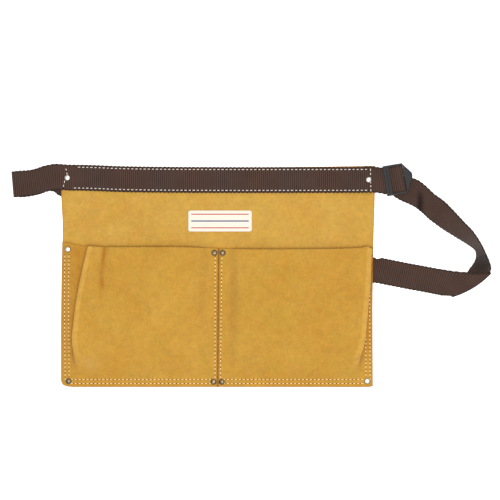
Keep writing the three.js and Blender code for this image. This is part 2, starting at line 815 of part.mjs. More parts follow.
function buckleGeometry() {
  const half = buckleHalfHeight
  const left = endBarU - endBarWidth
  const railEnd = noseU - noseSlot / 3
  const inner = half - railWidth
  const nose = new THREE.Shape()
  nose.moveTo(railEnd - railWidth, -half)
  nose.lineTo(railEnd + noseShoulder, -half)
  nose.lineTo(noseU + noseLength * 0.13, -half * 0.84)
  nose.lineTo(noseU + noseLength * 0.58, -half * 0.35)
  nose.quadraticCurveTo(noseU + noseLength * 0.9, -half * 0.15, noseU + noseLength, half * 0.03)
  nose.quadraticCurveTo(noseU + noseLength * 1.04, half * 0.16, noseU + noseLength * 0.98, half * 0.285)
  nose.lineTo(railEnd, half)
  nose.lineTo(railEnd - railWidth, half)
  nose.closePath()
  const endBar = rectangle(left, endBarU, -half, half)
  const barLeft = middleBarU - middleBarWidth / 2
  const middleBar = rectangle(barLeft, barLeft + middleBarWidth, -half, half)
  const railLow = rectangle(left, railEnd - railWidth / 2, -half, railWidth - half)
  const railHigh = rectangle(left, railEnd - railWidth / 2, half - railWidth, half)
  const railHeight = endBarZ + barHeight - barZ
  const slotHeight = 4 * barHeight
  const slot = new THREE.BoxGeometry(noseSlot, 2 * inner, slotHeight)
  slot.translate(noseU - noseSlot / 2, 0, endBarZ)
  const parts = [
    bevelledPlate(endBar, endBarZ, barHeight),
    bevelledPlate(middleBar, barZ, barHeight),
    bevelledPlate(nose, endBarZ, barHeight),
    bevelledPlate(railLow, barZ, railHeight),
    bevelledPlate(railHigh, barZ, railHeight),
  ]
  return toGeometry(parts.reduce((whole, part) => whole.add(part)).subtract(toSolid(slot)))
}

// Materials
const leatherPanel = new THREE.MeshStandardMaterial({ color: 0xd8a748, roughness: 0.92, metalness: 0 })
const leatherPocket = new THREE.MeshStandardMaterial({ color: 0xcf9c40, roughness: 0.92, metalness: 0 })
const webbingWeave = new THREE.MeshStandardMaterial({ color: 0x4a3b34, roughness: 0.85, metalness: 0 })
const mouldedPlastic = new THREE.MeshStandardMaterial({ color: 0x46474b, roughness: 0.45, metalness: 0 })
const nickel = new THREE.MeshStandardMaterial({ color: 0xc9c6bd, roughness: 0.3, metalness: 1 })
const patch = new THREE.MeshStandardMaterial({ color: 0xf0e8dc, roughness: 0.6, metalness: 0 })

const apron = new THREE.Group()

function addMesh(parent, name, geometry, material) {
  const mesh = new THREE.Mesh(geometry, material)
  mesh.name = name
  parent.add(mesh)
  return mesh
}

const panelCutters = [...holesWhere(() => true), ...rivetPlaces.map(washerSeat)]
addMesh(apron, 'back_panel', backPanel(panelCutters), leatherPanel)
const leftHoles = holesWhere((rivet) => !rivet.holds && rivet.side < 0)
const rightHoles = holesWhere((rivet) => !rivet.holds && rivet.side > 0)
addMesh(apron, 'left_pocket', pocketSheet(leftPocket, leftHoles), leatherPocket)
addMesh(apron, 'right_pocket', pocketSheet(rightPocket, rightHoles), leatherPocket)
const bandHoles = holesWhere((rivet) => rivet.holds, leather)
addMesh(apron, 'belt', beltStrip(beltRows, bandHoles), webbingWeave)
addMesh(apron, 'label', labelPatch(), patch)

rivets.forEach((rivet, k) => {
  const place = rivetPlaces[k]
  const mesh = addMesh(apron, rivet.name, rivetGeometry(rivetGrip(rivet, place)), nickel)
  mesh.position.set(place.x, place.y, panelLift(place.x, place.y))
})

const buckle = addMesh(apron, 'buckle', buckleGeometry(), mouldedPlastic)
buckle.position.set(buckleX, bandY + buckleLift, 0)
buckle.rotation.z = degToRad(buckleTurn)

export default apron
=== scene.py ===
# A leather carpenter's nail apron, laid out flat and seen from straight above.
# Shapes are worked out in millimetres in the frame's axes and turned into metres as each
# mesh is made. The origin is the middle of the back panel's underside.

import math

import bpy
import numpy as np
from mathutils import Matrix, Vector


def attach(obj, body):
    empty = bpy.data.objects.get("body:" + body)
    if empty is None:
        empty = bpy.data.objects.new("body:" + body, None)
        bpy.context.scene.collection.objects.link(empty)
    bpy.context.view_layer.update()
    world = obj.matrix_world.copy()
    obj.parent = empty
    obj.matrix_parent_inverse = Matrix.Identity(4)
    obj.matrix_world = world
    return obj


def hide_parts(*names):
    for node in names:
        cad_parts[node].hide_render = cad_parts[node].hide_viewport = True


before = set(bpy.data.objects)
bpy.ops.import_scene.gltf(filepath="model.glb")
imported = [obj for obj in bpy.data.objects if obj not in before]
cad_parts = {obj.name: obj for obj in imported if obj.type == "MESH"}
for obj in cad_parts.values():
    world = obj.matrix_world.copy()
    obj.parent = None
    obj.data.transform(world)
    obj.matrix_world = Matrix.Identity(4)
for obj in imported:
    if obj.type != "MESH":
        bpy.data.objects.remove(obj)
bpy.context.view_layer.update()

METRES = 0.001

# Leather and webbing
PANEL_WIDTH = 305
PANEL_HEIGHT = 215
LEATHER = 1.8
WEBBING_WIDTH = 25.4
WEBBING = 1.5
SEAT_GAP = 0.3
SEAM_GAP = 0.4

# Pockets
POCKET_HEIGHT = 136
POCKET_INSET = 0.2
POCKET_ROOM = 6.5
SIDE_SEAM = 8
CENTRE_SEAM = 8
CENTRE_GROOVE = 0.7
GROOVE_LEAN = (-0.2, 0.3)
CENTRE_RISE = 14
FOLD_RUN = 4.4
RIDGE_RUN = 2
CORNER_RISE = 4.8
CORNER_RUN = 22
VALLEY_DEPTH = 2.6
VALLEY_STEEP = 1.8
VALLEY_WIDTH = 5
VALLEY_PLACE = 40.2
POCKET_SLACK = 0.35
SLACK_PITCH = 19

# Steps along a pocket's section: the cut edge, the seam, the layer under the folds, a fold,
# the layer between the folds and the ridge where the front starts
CUT_EDGE = (0.12, 0.3, 0.55)
SEAM_STEPS = 8
UNDER_STEPS = 12
FOLD_STEPS = 14
BACK_STEPS = 6
RIDGE_STEPS = 2
FOLD_START = 1 + len(CUT_EDGE) + SEAM_STEPS + UNDER_STEPS
CREASE_START = FOLD_START + FOLD_STEPS + BACK_STEPS
HIGHLIGHT_START = CREASE_START + 2
RIDGE_START = CREASE_START + FOLD_STEPS
FRONT_START = RIDGE_START + RIDGE_STEPS
FRONT_SHARES = np.linspace(0, 1, 96)[1:]

# Painted shade and painted highlights in the leather, and its darker cut edges: strengths, and the
# lengths over which they fade
EDGE_SHADE = 0.6
EDGE_SHADE_RUN = 0.7
# A painted shadow on the panel above the pockets' mouths, and painted shade in the groove between the
# pockets and along its edges
MOUTH_SHADE = 0.34
MOUTH_SHADE_START = 0.3
MOUTH_SHADE_RUN = 1.7
MOUTH_LAP = 3
MOUTH_SPOTS = np.arange(-4, 10, 0.4)
GROOVE_SHADE = 0.7
GROOVE_SHADE_RUN = 3
CENTRE_SHADE = 0.5
CENTRE_SHADE_RUN = 0.5
# Painted shade under and beside the folds and in the valley, and painted highlights on the folds' edges
SHADED_TURN = 150
UNDER_BASE = 0.2
UNDER_SHADE = 0.75
UNDER_SHADE_RUN = 1.8
FOLD_SHADE = 0.7
FOLD_PAINTED_HIGHLIGHT = 0.35
FRONT_PAINTED_HIGHLIGHT = 0.2
FRONT_HIGHLIGHT_RUN = 0.9
VALLEY_SHADE = 0.55
VALLEY_SHADE_SHIFT = 0.5
VALLEY_SHADE_STEEP = 0.8
VALLEY_SHADE_WIDTH = 4.6

# Belt
BAND_DROP = 1.1
LEFT_REACH = 47.5
LOOP_REACH = 112
LOOP_DROP = 113
DRAPE_RUN = 25
TAIL_LAP = 10.5
TAIL_LIFT = 0.9
LAP_RUN = 13
STAND_GAP = 0.1
ROW_GAP = 1
RIB_PITCH = 2
RIB_DEPTH = 0.45
SCALLOP = 0.55
BELT_STEP = 0.5
BELT_SIDES = 8
BELT_INNER = 0.88
BELT_EDGE = (1, 0.992, 0.975, 0.94)
BELT_EDGE_RADIUS = 0.7
NARROWING = 0.08
NARROW_START = 24
NARROW_RUN = 16
CREASE_BOW = 3
CREASE_BOW_RUN = 15

# The wrinkle beside the buckle and the twist, both with painted shade. Fades are shares of half the
# webbing.
PINCH_REACH = 43.6
PINCH_HEIGHT = 2.6
PINCH_RUN = 3.4
PINCH_FADE_END = 0.8
PINCH_FADE = 1.1
PINCH_SHADE = 1.15
TWIST_REACH = 102.5
TWIST_DROP = 78.7
TWIST_RUN = 13
TWIST_SHADE = 0.85

# Buckle, along its own axis (u) and across it (v)
BUCKLE_REACH = 21.6
BUCKLE_TURN = 9.5
BUCKLE_LIFT = 0.5
BUCKLE_HALF = 14.7
END_BAR = 5
SLOT = 8
MIDDLE_BAR_U = 2.4
MIDDLE_BAR = 3.8
NOSE_SLOT = 2.5
NOSE = 7.6
BAR_HEIGHT = 2.4
RAIL = 1.9
FULL_SPAN = 1.045
BAR_GROOVE = (0.4, 0.62)
BUCKLE_BEVEL = 0.45

# The nose's outline as shares of its length and of the buckle's half width
NOSE_OUTLINE = ((0.13, -0.84), (0.58, -0.35), (0.9, -0.15), (1, 0.03), (1.04, 0.16), (0.98, 0.285))

# Rivets
HEAD_RADIUS = 2.9
HEAD_HEIGHT = 1.3
SHANK_RADIUS = 1.1
WASHER_RADIUS = 2.6
WASHER_HEIGHT = 0.5
WASHER_EDGE = 0.1
HEAD_EDGE = 0.12
HEAD_EDGE_RISE = 0.14
BAND_RIVET_INSET = 6.5
CENTRE_RIVET_PLACE = 4
CORNER_RIVET_RISE = 2.5
CORNER_RIVET_INSET = 2
RIVET_STEP = 0.7
LOW_RIVET = 0.044
HIGH_RIVET = 0.965
RIM_SHARE = 0.84
SEAM_RIVET = SIDE_SEAM * 0.675
BAND_RIVET_RISE = 0.075 * WEBBING_WIDTH

# Label patch
LABEL_WIDTH = 61.7
LABEL_HEIGHT = 20.5
LABEL_THICKNESS = 0.8
LABEL_RISE = 53.8
LABEL_SHIFT = 2
LABEL_CORNER = 2
LABEL_EDGE = (0, 0.1, 0.25, 0.5, 0.85, 1.3, 2)
LABEL_RIM = 0.55
LABEL_RIM_RUN = 0.6

# Stitches
STITCH_LENGTH = 2.5
STITCH_WIDTH = 0.8
STITCH_HEIGHT = 0.55
BELT_PITCH = 3.97
POCKET_PITCH = 3.83
THREAD_LIFT = 0.06
THREAD_LEAN = 0.05
THREAD_VARIETY = 0.13
THREAD_BEAT = 2.4
HOLE_LENGTH = 1.5
HOLE_WIDTH = 0.85
HOLE_HEIGHT = 0.16
ROW_INSET = 2.6
TOP_ROW_START = 16
LOW_ROW_START = 12
ROW_END = 7
ROW_PAIR = 3.9
ROW_FOOT = 0.045
SIDE_ROW = 2.8
BOTTOM_ROW_RISE = 3.8
BOTTOM_ROW_OUTER = 8.5
BOTTOM_ROW_INNER = 5.5
CENTRE_ROW = (2.2, 2.9)
CENTRE_ROW_SPAN = (0.06, 0.94)

# Short rows at the band's ends, as distances from the panel's side and the band's middle
OVER_RIVET_ROW = ((5, 9.6), (6.4, 3))
UNDER_RIVET_ROW = ((4.2, -2.2), (2.6, -9.4))
END_ROW = ((4.8, 11.7), (4.4, -11.3))

# Places that follow from the sizes
HALF_PANEL = PANEL_WIDTH / 2
PANEL_BOTTOM = -PANEL_HEIGHT / 2
PANEL_TOP = PANEL_HEIGHT / 2
HALF_WEBBING = WEBBING_WIDTH / 2
BAND_Y = PANEL_TOP - BAND_DROP - HALF_WEBBING
STRAP_LIFT = WEBBING + SEAT_GAP
STRAP_SHADOW = HALF_WEBBING + 1.5
FLANGE_Z = LEATHER + SEAM_GAP + LEATHER / 2
FRONT_RISE = POCKET_ROOM - SEAM_GAP
UNDER_Z = LEATHER + SEAT_GAP + WEBBING / 2
OVER_Z = UNDER_Z + WEBBING + SEAT_GAP
BAR_Z = UNDER_Z + WEBBING / 2 + SEAT_GAP
END_BAR_Z = OVER_Z + WEBBING / 2 + SEAT_GAP
CREST_Z = BAR_Z + BAR_HEIGHT + SEAT_GAP + WEBBING / 2
BAR_LEFT = MIDDLE_BAR_U - MIDDLE_BAR / 2
BAR_RIGHT = MIDDLE_BAR_U + MIDDLE_BAR / 2
END_BAR_U = BAR_LEFT - SLOT
NOSE_U = BAR_RIGHT + NOSE_SLOT
BUCKLE_X = HALF_PANEL + BUCKLE_REACH
LOW_RIVET_Y = PANEL_BOTTOM + LOW_RIVET * POCKET_HEIGHT
HIGH_RIVET_Y = PANEL_BOTTOM + HIGH_RIVET * POCKET_HEIGHT

# The set: camera in millimetres, and each light's place and size in metres and its watts
CAMERA_CENTRE = (31.04, 25.7)
CAMERA_HEIGHT = 1351
LENS = 100
SENSOR = 36
FLOOR_SIZE = 3000
FLOOR_GLOW = 0.45
WORLD_LIGHT = 0.55
LIGHTS = {
    "key": ((0.06, -0.12, 1.5), 0.7, 18.5),
    "fill": ((0.3, 0.8, 1.3), 1.2, 4),
}


def table(columns, *rows):
    """Rows of numbers as one array for each named column."""
    return dict(zip(columns.split(), np.array(rows, float).T))


# Insets of the panel's sides as shares of its width, by height
PANEL_SIDES = table(
    "at left right",
    (0, 0, 0.0067),
    (0.27, 0, 0.0076),
    (0.46, 0.0016, 0.0076),
    (0.61, 0.0035, 0.006),
    (0.72, 0.005, 0.0035),
    (0.87, 0.0013, 0.0005),
    (1, 0.001, 0),
)

# How far inside the panel's height its top and bottom edges lie, by place across
PANEL_ENDS = table(
    "at top bottom",
    (0, 0.0086, 0.027),
    (0.004, 0.0086, 0.014),
    (0.012, 0.0086, 0.0055),
    (0.03, 0.0086, 0.0008),
    (0.06, 0.0086, 0),
    (0.45, 0.0086, 0),
    (0.8, 0.004, 0),
    (0.985, 0, 0),
    (1, 0, 0.003),
)

# The panel's unevenness: height, pitch and where each wave starts
PANEL_RELIEF = ((0.12, 17, 0.7), (0.06, 7, 1.9))

# The belt behind the panel: its fall as a share of its whole fall
HIDDEN_FALL = table(
    "at fall",
    (0, 0),
    (0.076, 0.047),
    (0.188, 0.146),
    (0.379, 0.349),
    (0.602, 0.594),
    (0.825, 0.832),
    (1, 1),
)
HIDDEN_START = (-HALF_PANEL, BAND_Y - 0.11 * WEBBING_WIDTH)
HIDDEN_END = (HALF_PANEL, BAND_Y - 0.773 * LOOP_DROP)

# The band's small rise towards its left end, as a share of the webbing's width
BAND_RISE = table("at rise", (0, 0.09), (0.09, 0.076), (0.2, 0.027), (0.4, 0), (1, 0))

# Side folds of the pockets by height share. Under and back are shares of the pleat's two
# layers, and turn is how far each fold is turned in degrees. The side's two stitch rows have
# their tops as shares of the height and their lean in millimetres.
LEFT_POCKET = {
    "side": -1,
    "row_tops": (0.955, 0.955),
    "row_lean": 1.3,
    "pleat_under": 27.2,
    "pleat_back": 8,
    "folds": table(
        "at under back turn",
        (0, 0.04, 0.12, 0),
        (0.07, 0.04, 0.12, 0),
        (0.14, 0.06, 0.12, 35),
        (0.24, 0.08, 0.14, 85),
        (0.35, 0.16, 0.18, 138),
        (0.43, 0.29, 0.31, 162),
        (0.63, 0.5, 0.56, 172),
        (0.83, 0.76, 0.81, 174),
        (1, 1, 1, 174),
    ),
    "mouth": table(
        "at rise",
        (0, 0.0086),
        (0.16, 0.0086),
        (0.26, 0.0014),
        (0.75, 0),
        (0.97, -0.0079),
        (1, -0.008),
    ),
    "valley": table(
        "at place depth",
        (0, 0.9, 0),
        (0.56, 0.9, 0),
        (0.68, 0.91, 0.4),
        (0.85, 0.935, 0.85),
        (1, 1, 1),
    ),
}
RIGHT_POCKET = {
    "side": 1,
    "row_tops": (0.715, 0.5),
    "row_lean": 0,
    "pleat_under": 1.5,
    "pleat_back": 6.3,
    "folds": table(
        "at under back turn",
        (0, 1, 0.15, 0),
        (0.07, 1, 0.15, 0),
        (0.14, 1, 0.15, 35),
        (0.22, 1, 0.16, 85),
        (0.3, 1, 0.2, 135),
        (0.4, 1, 0.28, 162),
        (0.615, 1, 0.58, 172),
        (0.74, 1, 0.81, 174),
        (1, 1, 1, 174),
    ),
    "mouth": table(
        "at rise",
        (0, -0.0136),
        (0.01, -0.0136),
        (0.042, 0.0036),
        (0.08, -0.004),
        (0.28, -0.012),
        (0.73, -0.0157),
        (1, -0.011),
    ),
    "valley": table("at place depth", (0, 1, 0), (1, 1, 0)),
}

# How full the pockets stand off the panel, by height share
POCKET_FILL = table(
    "at fill", (0, 0), (0.07, 0), (0.14, 0.33), (0.25, 0.66), (0.38, 0.9), (0.6, 1), (1, 1)
)

# The belt's free ends. Across is the direction of its width, tilt how far its far edge is
# raised, and span its length on the slant as a share of the webbing's width.
LEFT_STRAP = table(
    "reach drop across",
    (0, -0.11, 92),
    (0.1, -0.12, 93),
    (0.22, -0.085, 97),
    (0.33, -0.03, 100),
    (0.45, 0.05, 99),
    (0.62, 0.12, 96),
    (0.8, 0.14, 95),
)
LEFT_FOLD = table("reach drop across", (0.935, 0.165, 94.7))
LEFT_RETURN = table(
    "reach drop across",
    (0.8, 0.17, 95),
    (0.62, 0.12, 96),
    (0.45, 0.04, 97),
    (0.3, -0.06, 94),
    (0.14, -0.04, 88),
)
LOOP_RETURN = table(
    "reach drop across tilt span level",
    (0.005, 0.782, 77, 0, 0.96, 0),
    (0.035, 0.778, 77, 0, 1, 0),
    (0.15, 0.8, 78, 0, 1, 0),
    (0.288, 0.827, 79, 0, 1, 0),
    (0.4, 0.847, 79, 0, 1, 0.15),
    (0.5, 0.866, 77, 0.5, 1, 0.8),
    (0.61, 0.885, 62, 3, 1.06, 1),
    (0.665, 0.892, 48, 6, 1.24, 1),
    (0.735, 0.897, 36, 9, 1.5, 1),
)
LOOP_FOLD = table("reach drop across tilt span level", (0.827, 0.894, 32.3, 9, 1.75, 0))
LOOP_RISE = table(
    "reach drop across tilt span level",
    (0.868, 0.828, 24, 13, 1.26, 0),
    (0.893, 0.778, 10, 34, 1.04, 0),
    (0.909, 0.73, 0, 56, 1, 0),
    (0.911, 0.694, 3, 67, 1, 0),
    (0.906, 0.658, 15, 75, 1, 0),
    (0.898, 0.625, 28, 79, 1, 0),
    (0.884, 0.59, 39, 80, 1, 0),
    (0.855, 0.553, 45, 75, 1, 0),
    (0.816, 0.512, 47, 68, 1, 0),
    (0.768, 0.468, 48, 60, 1, 0),
    (0.711, 0.422, 48, 54, 1, 0),
    (0.646, 0.368, 46, 45, 1, 0),
    (0.575, 0.304, 43, 35, 1, 0),
    (0.513, 0.248, 46, 26, 0.97, 0),
    (0.45, 0.196, 54, 22, 0.9, 0),
    (0.382, 0.137, 60, 11, 0.94, 0),
    (0.325, 0.1, 62, 3, 1, 0),
    (0.278, 0.08, 62, 0, 1, 0),
    (0.215, 0.043, 60, 0, 1, 0),
)


def lerp(a, b, t):
    return a + (b - a) * t


def ease(t):
    return t * t * (3 - 2 * t)


def ramp(t):
    return ease(np.clip(t, 0, 1))


def read(rows, column, place):
    """A table's column at a place, on a smooth curve through its rows."""
    at = rows["at"]
    values = rows[column]
    before = np.maximum(np.arange(len(at)) - 1, 0)
    after = np.minimum(np.arange(len(at)) + 1, len(at) - 1)
    slopes = (values[after] - values[before]) / (at[after] - at[before])
    i = np.clip(np.searchsorted(at, place) - 1, 0, len(at) - 2)
    length = at[i + 1] - at[i]
    t = np.clip((place - at[i]) / length, 0, 1)
    bend = t * (1 - t) * length
    return lerp(values[i], values[i + 1], ease(t)) + bend * ((1 - t) * slopes[i] - t * slopes[i + 1])


# The panel

def hidden_line(x):
    """Centre line of the belt behind the panel, and its heading."""
    run = HIDDEN_END[0] - HIDDEN_START[0]
    share = np.clip((x - HIDDEN_START[0]) / run, 0, 1)
    step = 0.01
    low = np.maximum(share - step, 0)
    high = np.minimum(share + step, 1)

    def place(s):
        return lerp(HIDDEN_START[1], HIDDEN_END[1], read(HIDDEN_FALL, "fall", s))

    return place(share), np.arctan((place(high) - place(low)) / ((high - low) * run))


def panel_lift(x, y):
    """How far the panel is lifted off the floor by the webbing behind it."""
    line, heading = hidden_line(x)
    away = np.abs(y - line) * np.cos(heading)
    return STRAP_LIFT * ramp(1 - (away - STRAP_SHADOW) / DRAPE_RUN)


def panel_side(side, y):
    share = np.clip((y - PANEL_BOTTOM) / PANEL_HEIGHT, 0, 1)
    inset = PANEL_WIDTH * read(PANEL_SIDES, "left" if side < 0 else "right", share)
    return side * (HALF_PANEL - inset)


def panel_end(end, share):
    inset = PANEL_HEIGHT * read(PANEL_ENDS, end, share)
    return PANEL_TOP - inset if end == "top" else PANEL_BOTTOM + inset


def with_edges(length, step, edge=(0, 0.12, 0.3, 0.55, 0.9)):
    """Shares along a length, with close steps at both ends for a rounded edge."""
    close = np.array(edge) / length
    count = max(int(length / step), 2)
    middle = np.linspace(2 * close[-1], 1 - 2 * close[-1], count)
    return np.concatenate([close, middle, 1 - close[::-1]])


def edge_share(distance, radius=0.75):
    """Share of a sheet's thickness left at a distance from its cut edge."""
    t = np.clip(distance / radius, 0, 1)
    return 0.42 + 0.58 * np.sqrt(1 - (1 - t) ** 2)


def wander(x, y, pitch, seed=0.0):
    """Smooth uneven relief from -1 to 1, with bumps about a pitch wide."""
    a = np.sin(x / pitch * 2.1 + seed) * np.cos(y / pitch * 1.7 - seed * 2)
    b = np.sin((x + y) / pitch * 1.3 + seed * 3) * np.cos((x - 1.4 * y) / pitch + seed)
    return (a + b) / 2


def sheet_faces(rows, columns):
    """Faces of a closed sheet whose front and back skins are grids of this size."""
    grid = np.arange(rows * columns).reshape(rows, columns)
    size = rows * columns

    def quads(a, b, c, d):
        return np.stack([a.ravel(), b.ravel(), c.ravel(), d.ravel()], axis=1)

    front = quads(grid[:-1, :-1], grid[:-1, 1:], grid[1:, 1:], grid[1:, :-1])
    back = quads(grid[:-1, :-1], grid[1:, :-1], grid[1:, 1:], grid[:-1, 1:]) + size
    rims = []
    for line, flip in ((grid[0], 1), (grid[-1], -1), (grid[:, 0], -1), (grid[:, -1], 1)):
        a, b = (line[:-1], line[1:]) if flip > 0 else (line[1:], line[:-1])
        rims.append(quads(a, a + size, b + size, b))
    return np.concatenate([front, back, *rims])


def outward(points, faces):
    """The faces, turned round if they point into the solid."""
    a = points[faces[:, 0]]
    volume = 0
    for k in range(1, faces.shape[1] - 1):
        volume += (a * np.cross(points[faces[:, k]], points[faces[:, k + 1]])).sum()
    return faces if volume > 0 else faces[:, ::-1]


def turned(u, v, angle):
    return u * math.cos(angle) - v * math.sin(angle), u * math.sin(angle) + v * math.cos(angle)


def ring_faces(rings, sides, first=0):
    """Faces between rings of points that follow each other."""
    faces = []
    for low in range(first, first + (rings - 1) * sides, sides):
        for k in range(sides):
            after = (k + 1) % sides
            faces.append((low + k, low + after, low + sides + after, low + sides + k))
    return faces


def add_object(name, data):
    thing = bpy.data.objects.new(name, data)
    bpy.context.scene.collection.objects.link(thing)
    return thing


def mesh_object(name, points, faces, smooth=True):
    """A mesh object from points in millimetres."""
    mesh = bpy.data.meshes.new(name)
    mesh.from_pydata((np.array(points) * METRES).tolist(), [], faces)
    mesh.polygons.foreach_set("use_smooth", np.full(len(faces), smooth))
    mesh.update()
    return add_object(name, mesh)


def new_mesh(name, points, faces, uv=None, shade=None):
    """A piece with its faces turned outwards, its place on the flat sheet and its shade."""
    piece = mesh_object(name, points, outward(points, np.asarray(faces)).tolist())
    mesh = piece.data
    if uv is not None:
        layer = mesh.uv_layers.new(name="sheet")
        corners = np.zeros(len(mesh.loops), np.int32)
        mesh.loops.foreach_get("vertex_index", corners)
        layer.data.foreach_set("uv", np.asarray(uv, np.float32)[corners].ravel())
    if shade is not None:
        layer = mesh.attributes.new("shade", "FLOAT", "POINT")
        layer.data.foreach_set("value", np.asarray(shade, np.float32).ravel())
    return piece


def closed_sheet(name, front, back, shade=None, back_shade=None, uv=None):
    """A sheet from its two skins. The back has the front's shade unless it is given its own."""
    points = np.concatenate([front.reshape(-1, 3), back.reshape(-1, 3)])
    if shade is not None:
        back_shade = shade if back_shade is None else back_shade
        shade = np.concatenate([shade.ravel(), back_shade.ravel()])
    if uv is not None:
        uv = np.concatenate([uv.reshape(-1, 2), uv.reshape(-1, 2)])
    return new_mesh(name, points, sheet_faces(*front.shape[:2]), uv, shade)


def finish_piece(piece, material, nodes=()):
    piece.data.materials.clear()
    piece.data.materials.append(material)
    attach(piece, "root")
    if nodes:
        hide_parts(*nodes)
    return piece


def mouth_line(x):
    """Height of the pockets' mouths on the panel."""
    from_side = np.maximum(HALF_PANEL - np.abs(x), 0)
    share = np.minimum(from_side / HALF_PANEL, 1)
    near = ramp(from_side / CORNER_RUN)
    left = CORNER_RISE * (1 - near) + POCKET_HEIGHT * read(LEFT_POCKET["mouth"], "rise", share) * near
    right = POCKET_HEIGHT * read(RIGHT_POCKET["mouth"], "rise", share) * near
    return PANEL_BOTTOM + POCKET_HEIGHT + np.where(x < 0, left, right)


def panel_piece():
    shares = with_edges(PANEL_WIDTH, 2)
    fine = (POCKET_HEIGHT + MOUTH_SPOTS) / PANEL_HEIGHT
    heights = with_edges(PANEL_HEIGHT, 2)
    heights = heights[(heights < fine[0] - 0.001) | (heights > fine[-1] + 0.001)]
    heights = np.sort(np.concatenate([heights, fine]))
    across, up = np.meshgrid(shares, heights, indexing="ij")
    y = lerp(panel_end("bottom", across), panel_end("top", across), up)
    x = lerp(panel_side(-1, y), panel_side(1, y), across)
    edge = np.minimum.reduce([
        across * PANEL_WIDTH, (1 - across) * PANEL_WIDTH, up * PANEL_HEIGHT, (1 - up) * PANEL_HEIGHT
    ])
    thick = LEATHER * edge_share(edge)
    middle = panel_lift(x, y) + LEATHER / 2
    relief = sum(rise * wander(x, y, pitch, seed) for rise, pitch, seed in PANEL_RELIEF)
    front = np.stack([x, y, middle + thick / 2 + relief], axis=-1)
    back = np.stack([x, y, middle - thick / 2], axis=-1)
    # Painted shade: a shadow on the panel just above the pockets' mouths, and shade in the groove between
    # the pockets. The cut edges are darker too; the back gets only those.
    above = y - mouth_line(x)
    over_mouth = np.maximum(above - MOUTH_SHADE_START, 0)
    mouth = np.where(above > -MOUTH_LAP, MOUTH_SHADE * np.exp(-over_mouth / MOUTH_SHADE_RUN), 0)
    groove = np.where(above < 0, GROOVE_SHADE * np.exp(-((x / GROOVE_SHADE_RUN) ** 2)), 0)
    rim = EDGE_SHADE * np.exp(-edge / EDGE_SHADE_RUN)
    return closed_sheet("panel_leather", front, back, mouth + groove + rim, rim)


# The pockets

def folded_side(pocket, height):
    """A pocket's side seam and folds at one height: u, z and length along the leather."""
    turn = math.radians(float(read(pocket["folds"], "turn", height)))
    under = pocket["pleat_under"] * float(read(pocket["folds"], "under", height))
    back = pocket["pleat_back"] * float(read(pocket["folds"], "back", height))
    runs = (
        (SIDE_SEAM, 0, SEAM_STEPS),
        (under, 0, UNDER_STEPS),
        (FOLD_RUN, turn, FOLD_STEPS),
        (back, 0, BACK_STEPS),
        (FOLD_RUN, -turn, FOLD_STEPS),
        (RIDGE_RUN, 0, RIDGE_STEPS),
    )
    u, z, heading, length = 0.0, FLANGE_Z, 0.0, 0.0
    line = [(u, z, length), *((edge, z, edge) for edge in CUT_EDGE)]
    for run, bend, steps in runs:
        step = run / steps
        for _ in range(steps):
            middle = heading + bend / steps / 2
            u += step * math.cos(middle)
            z += step * math.sin(middle)
            length += step
            heading += bend / steps
            line.append((u, z, length))
    return np.array(line).T


def groove_place(height):
    """Where the groove between the pockets lies across: it leans a little."""
    return lerp(*GROOVE_LEAN, height) * CENTRE_SEAM / 4


def pocket_groove(pocket, height):
    return groove_place(height) + pocket["side"] * CENTRE_GROOVE / 2


def pocket_outer(pocket, height):
    y = lerp(PANEL_BOTTOM, PANEL_BOTTOM + POCKET_HEIGHT, height)
    return float(panel_side(pocket["side"], y)) - pocket["side"] * POCKET_INSET


def pocket_section(pocket, height):
    """One cross-section as a centre line, from the outer edge to the centre groove."""
    outer = pocket_outer(pocket, height)
    whole = abs(outer - pocket_groove(pocket, height))
    side_u, side_z, side_length = folded_side(pocket, height)
    fill = read(POCKET_FILL, "fill", height)
    valley = VALLEY_PLACE * read(pocket["valley"], "place", height)
    depth = VALLEY_DEPTH * read(pocket["valley"], "depth", height)
    u = lerp(side_u[-1], whole, FRONT_SHARES)
    rise = ramp((u - side_u[-1]) / CENTRE_RISE)
    level = lerp(side_z[-1], FLANGE_Z + FRONT_RISE * fill, rise)
    seam = ramp((whole - u - CENTRE_SEAM) / CENTRE_RISE)
    valley_side = np.where(u < valley, VALLEY_STEEP, VALLEY_WIDTH)
    dip = depth * np.exp(-(((u - valley) / valley_side) ** 2))
    waves = wander(u, height * POCKET_HEIGHT, SLACK_PITCH, 2 + pocket["side"])
    slack = POCKET_SLACK * fill * rise * waves
    front_z = FLANGE_Z + (level - FLANGE_Z - dip + slack) * seam
    length = side_length[-1] + u - side_u[-1]
    return (
        np.concatenate([side_u, u]),
        np.concatenate([side_z, front_z]),
        np.concatenate([side_length, length]),
        outer,
        whole,
    )


def pocket_y(pocket, height, u, length, whole):
    share = np.clip(u / whole, 0, 1)
    across = share / 2 if pocket["side"] < 0 else 1 - share / 2
    bottom = panel_end("bottom", across) + SEAT_GAP
    corner = CORNER_RISE * ramp(1 - length / CORNER_RUN) if pocket["side"] < 0 else 0
    rise = POCKET_HEIGHT * read(pocket["mouth"], "rise", share) * ramp(length / CORNER_RUN)
    return lerp(bottom, PANEL_BOTTOM + POCKET_HEIGHT + corner + rise, height)


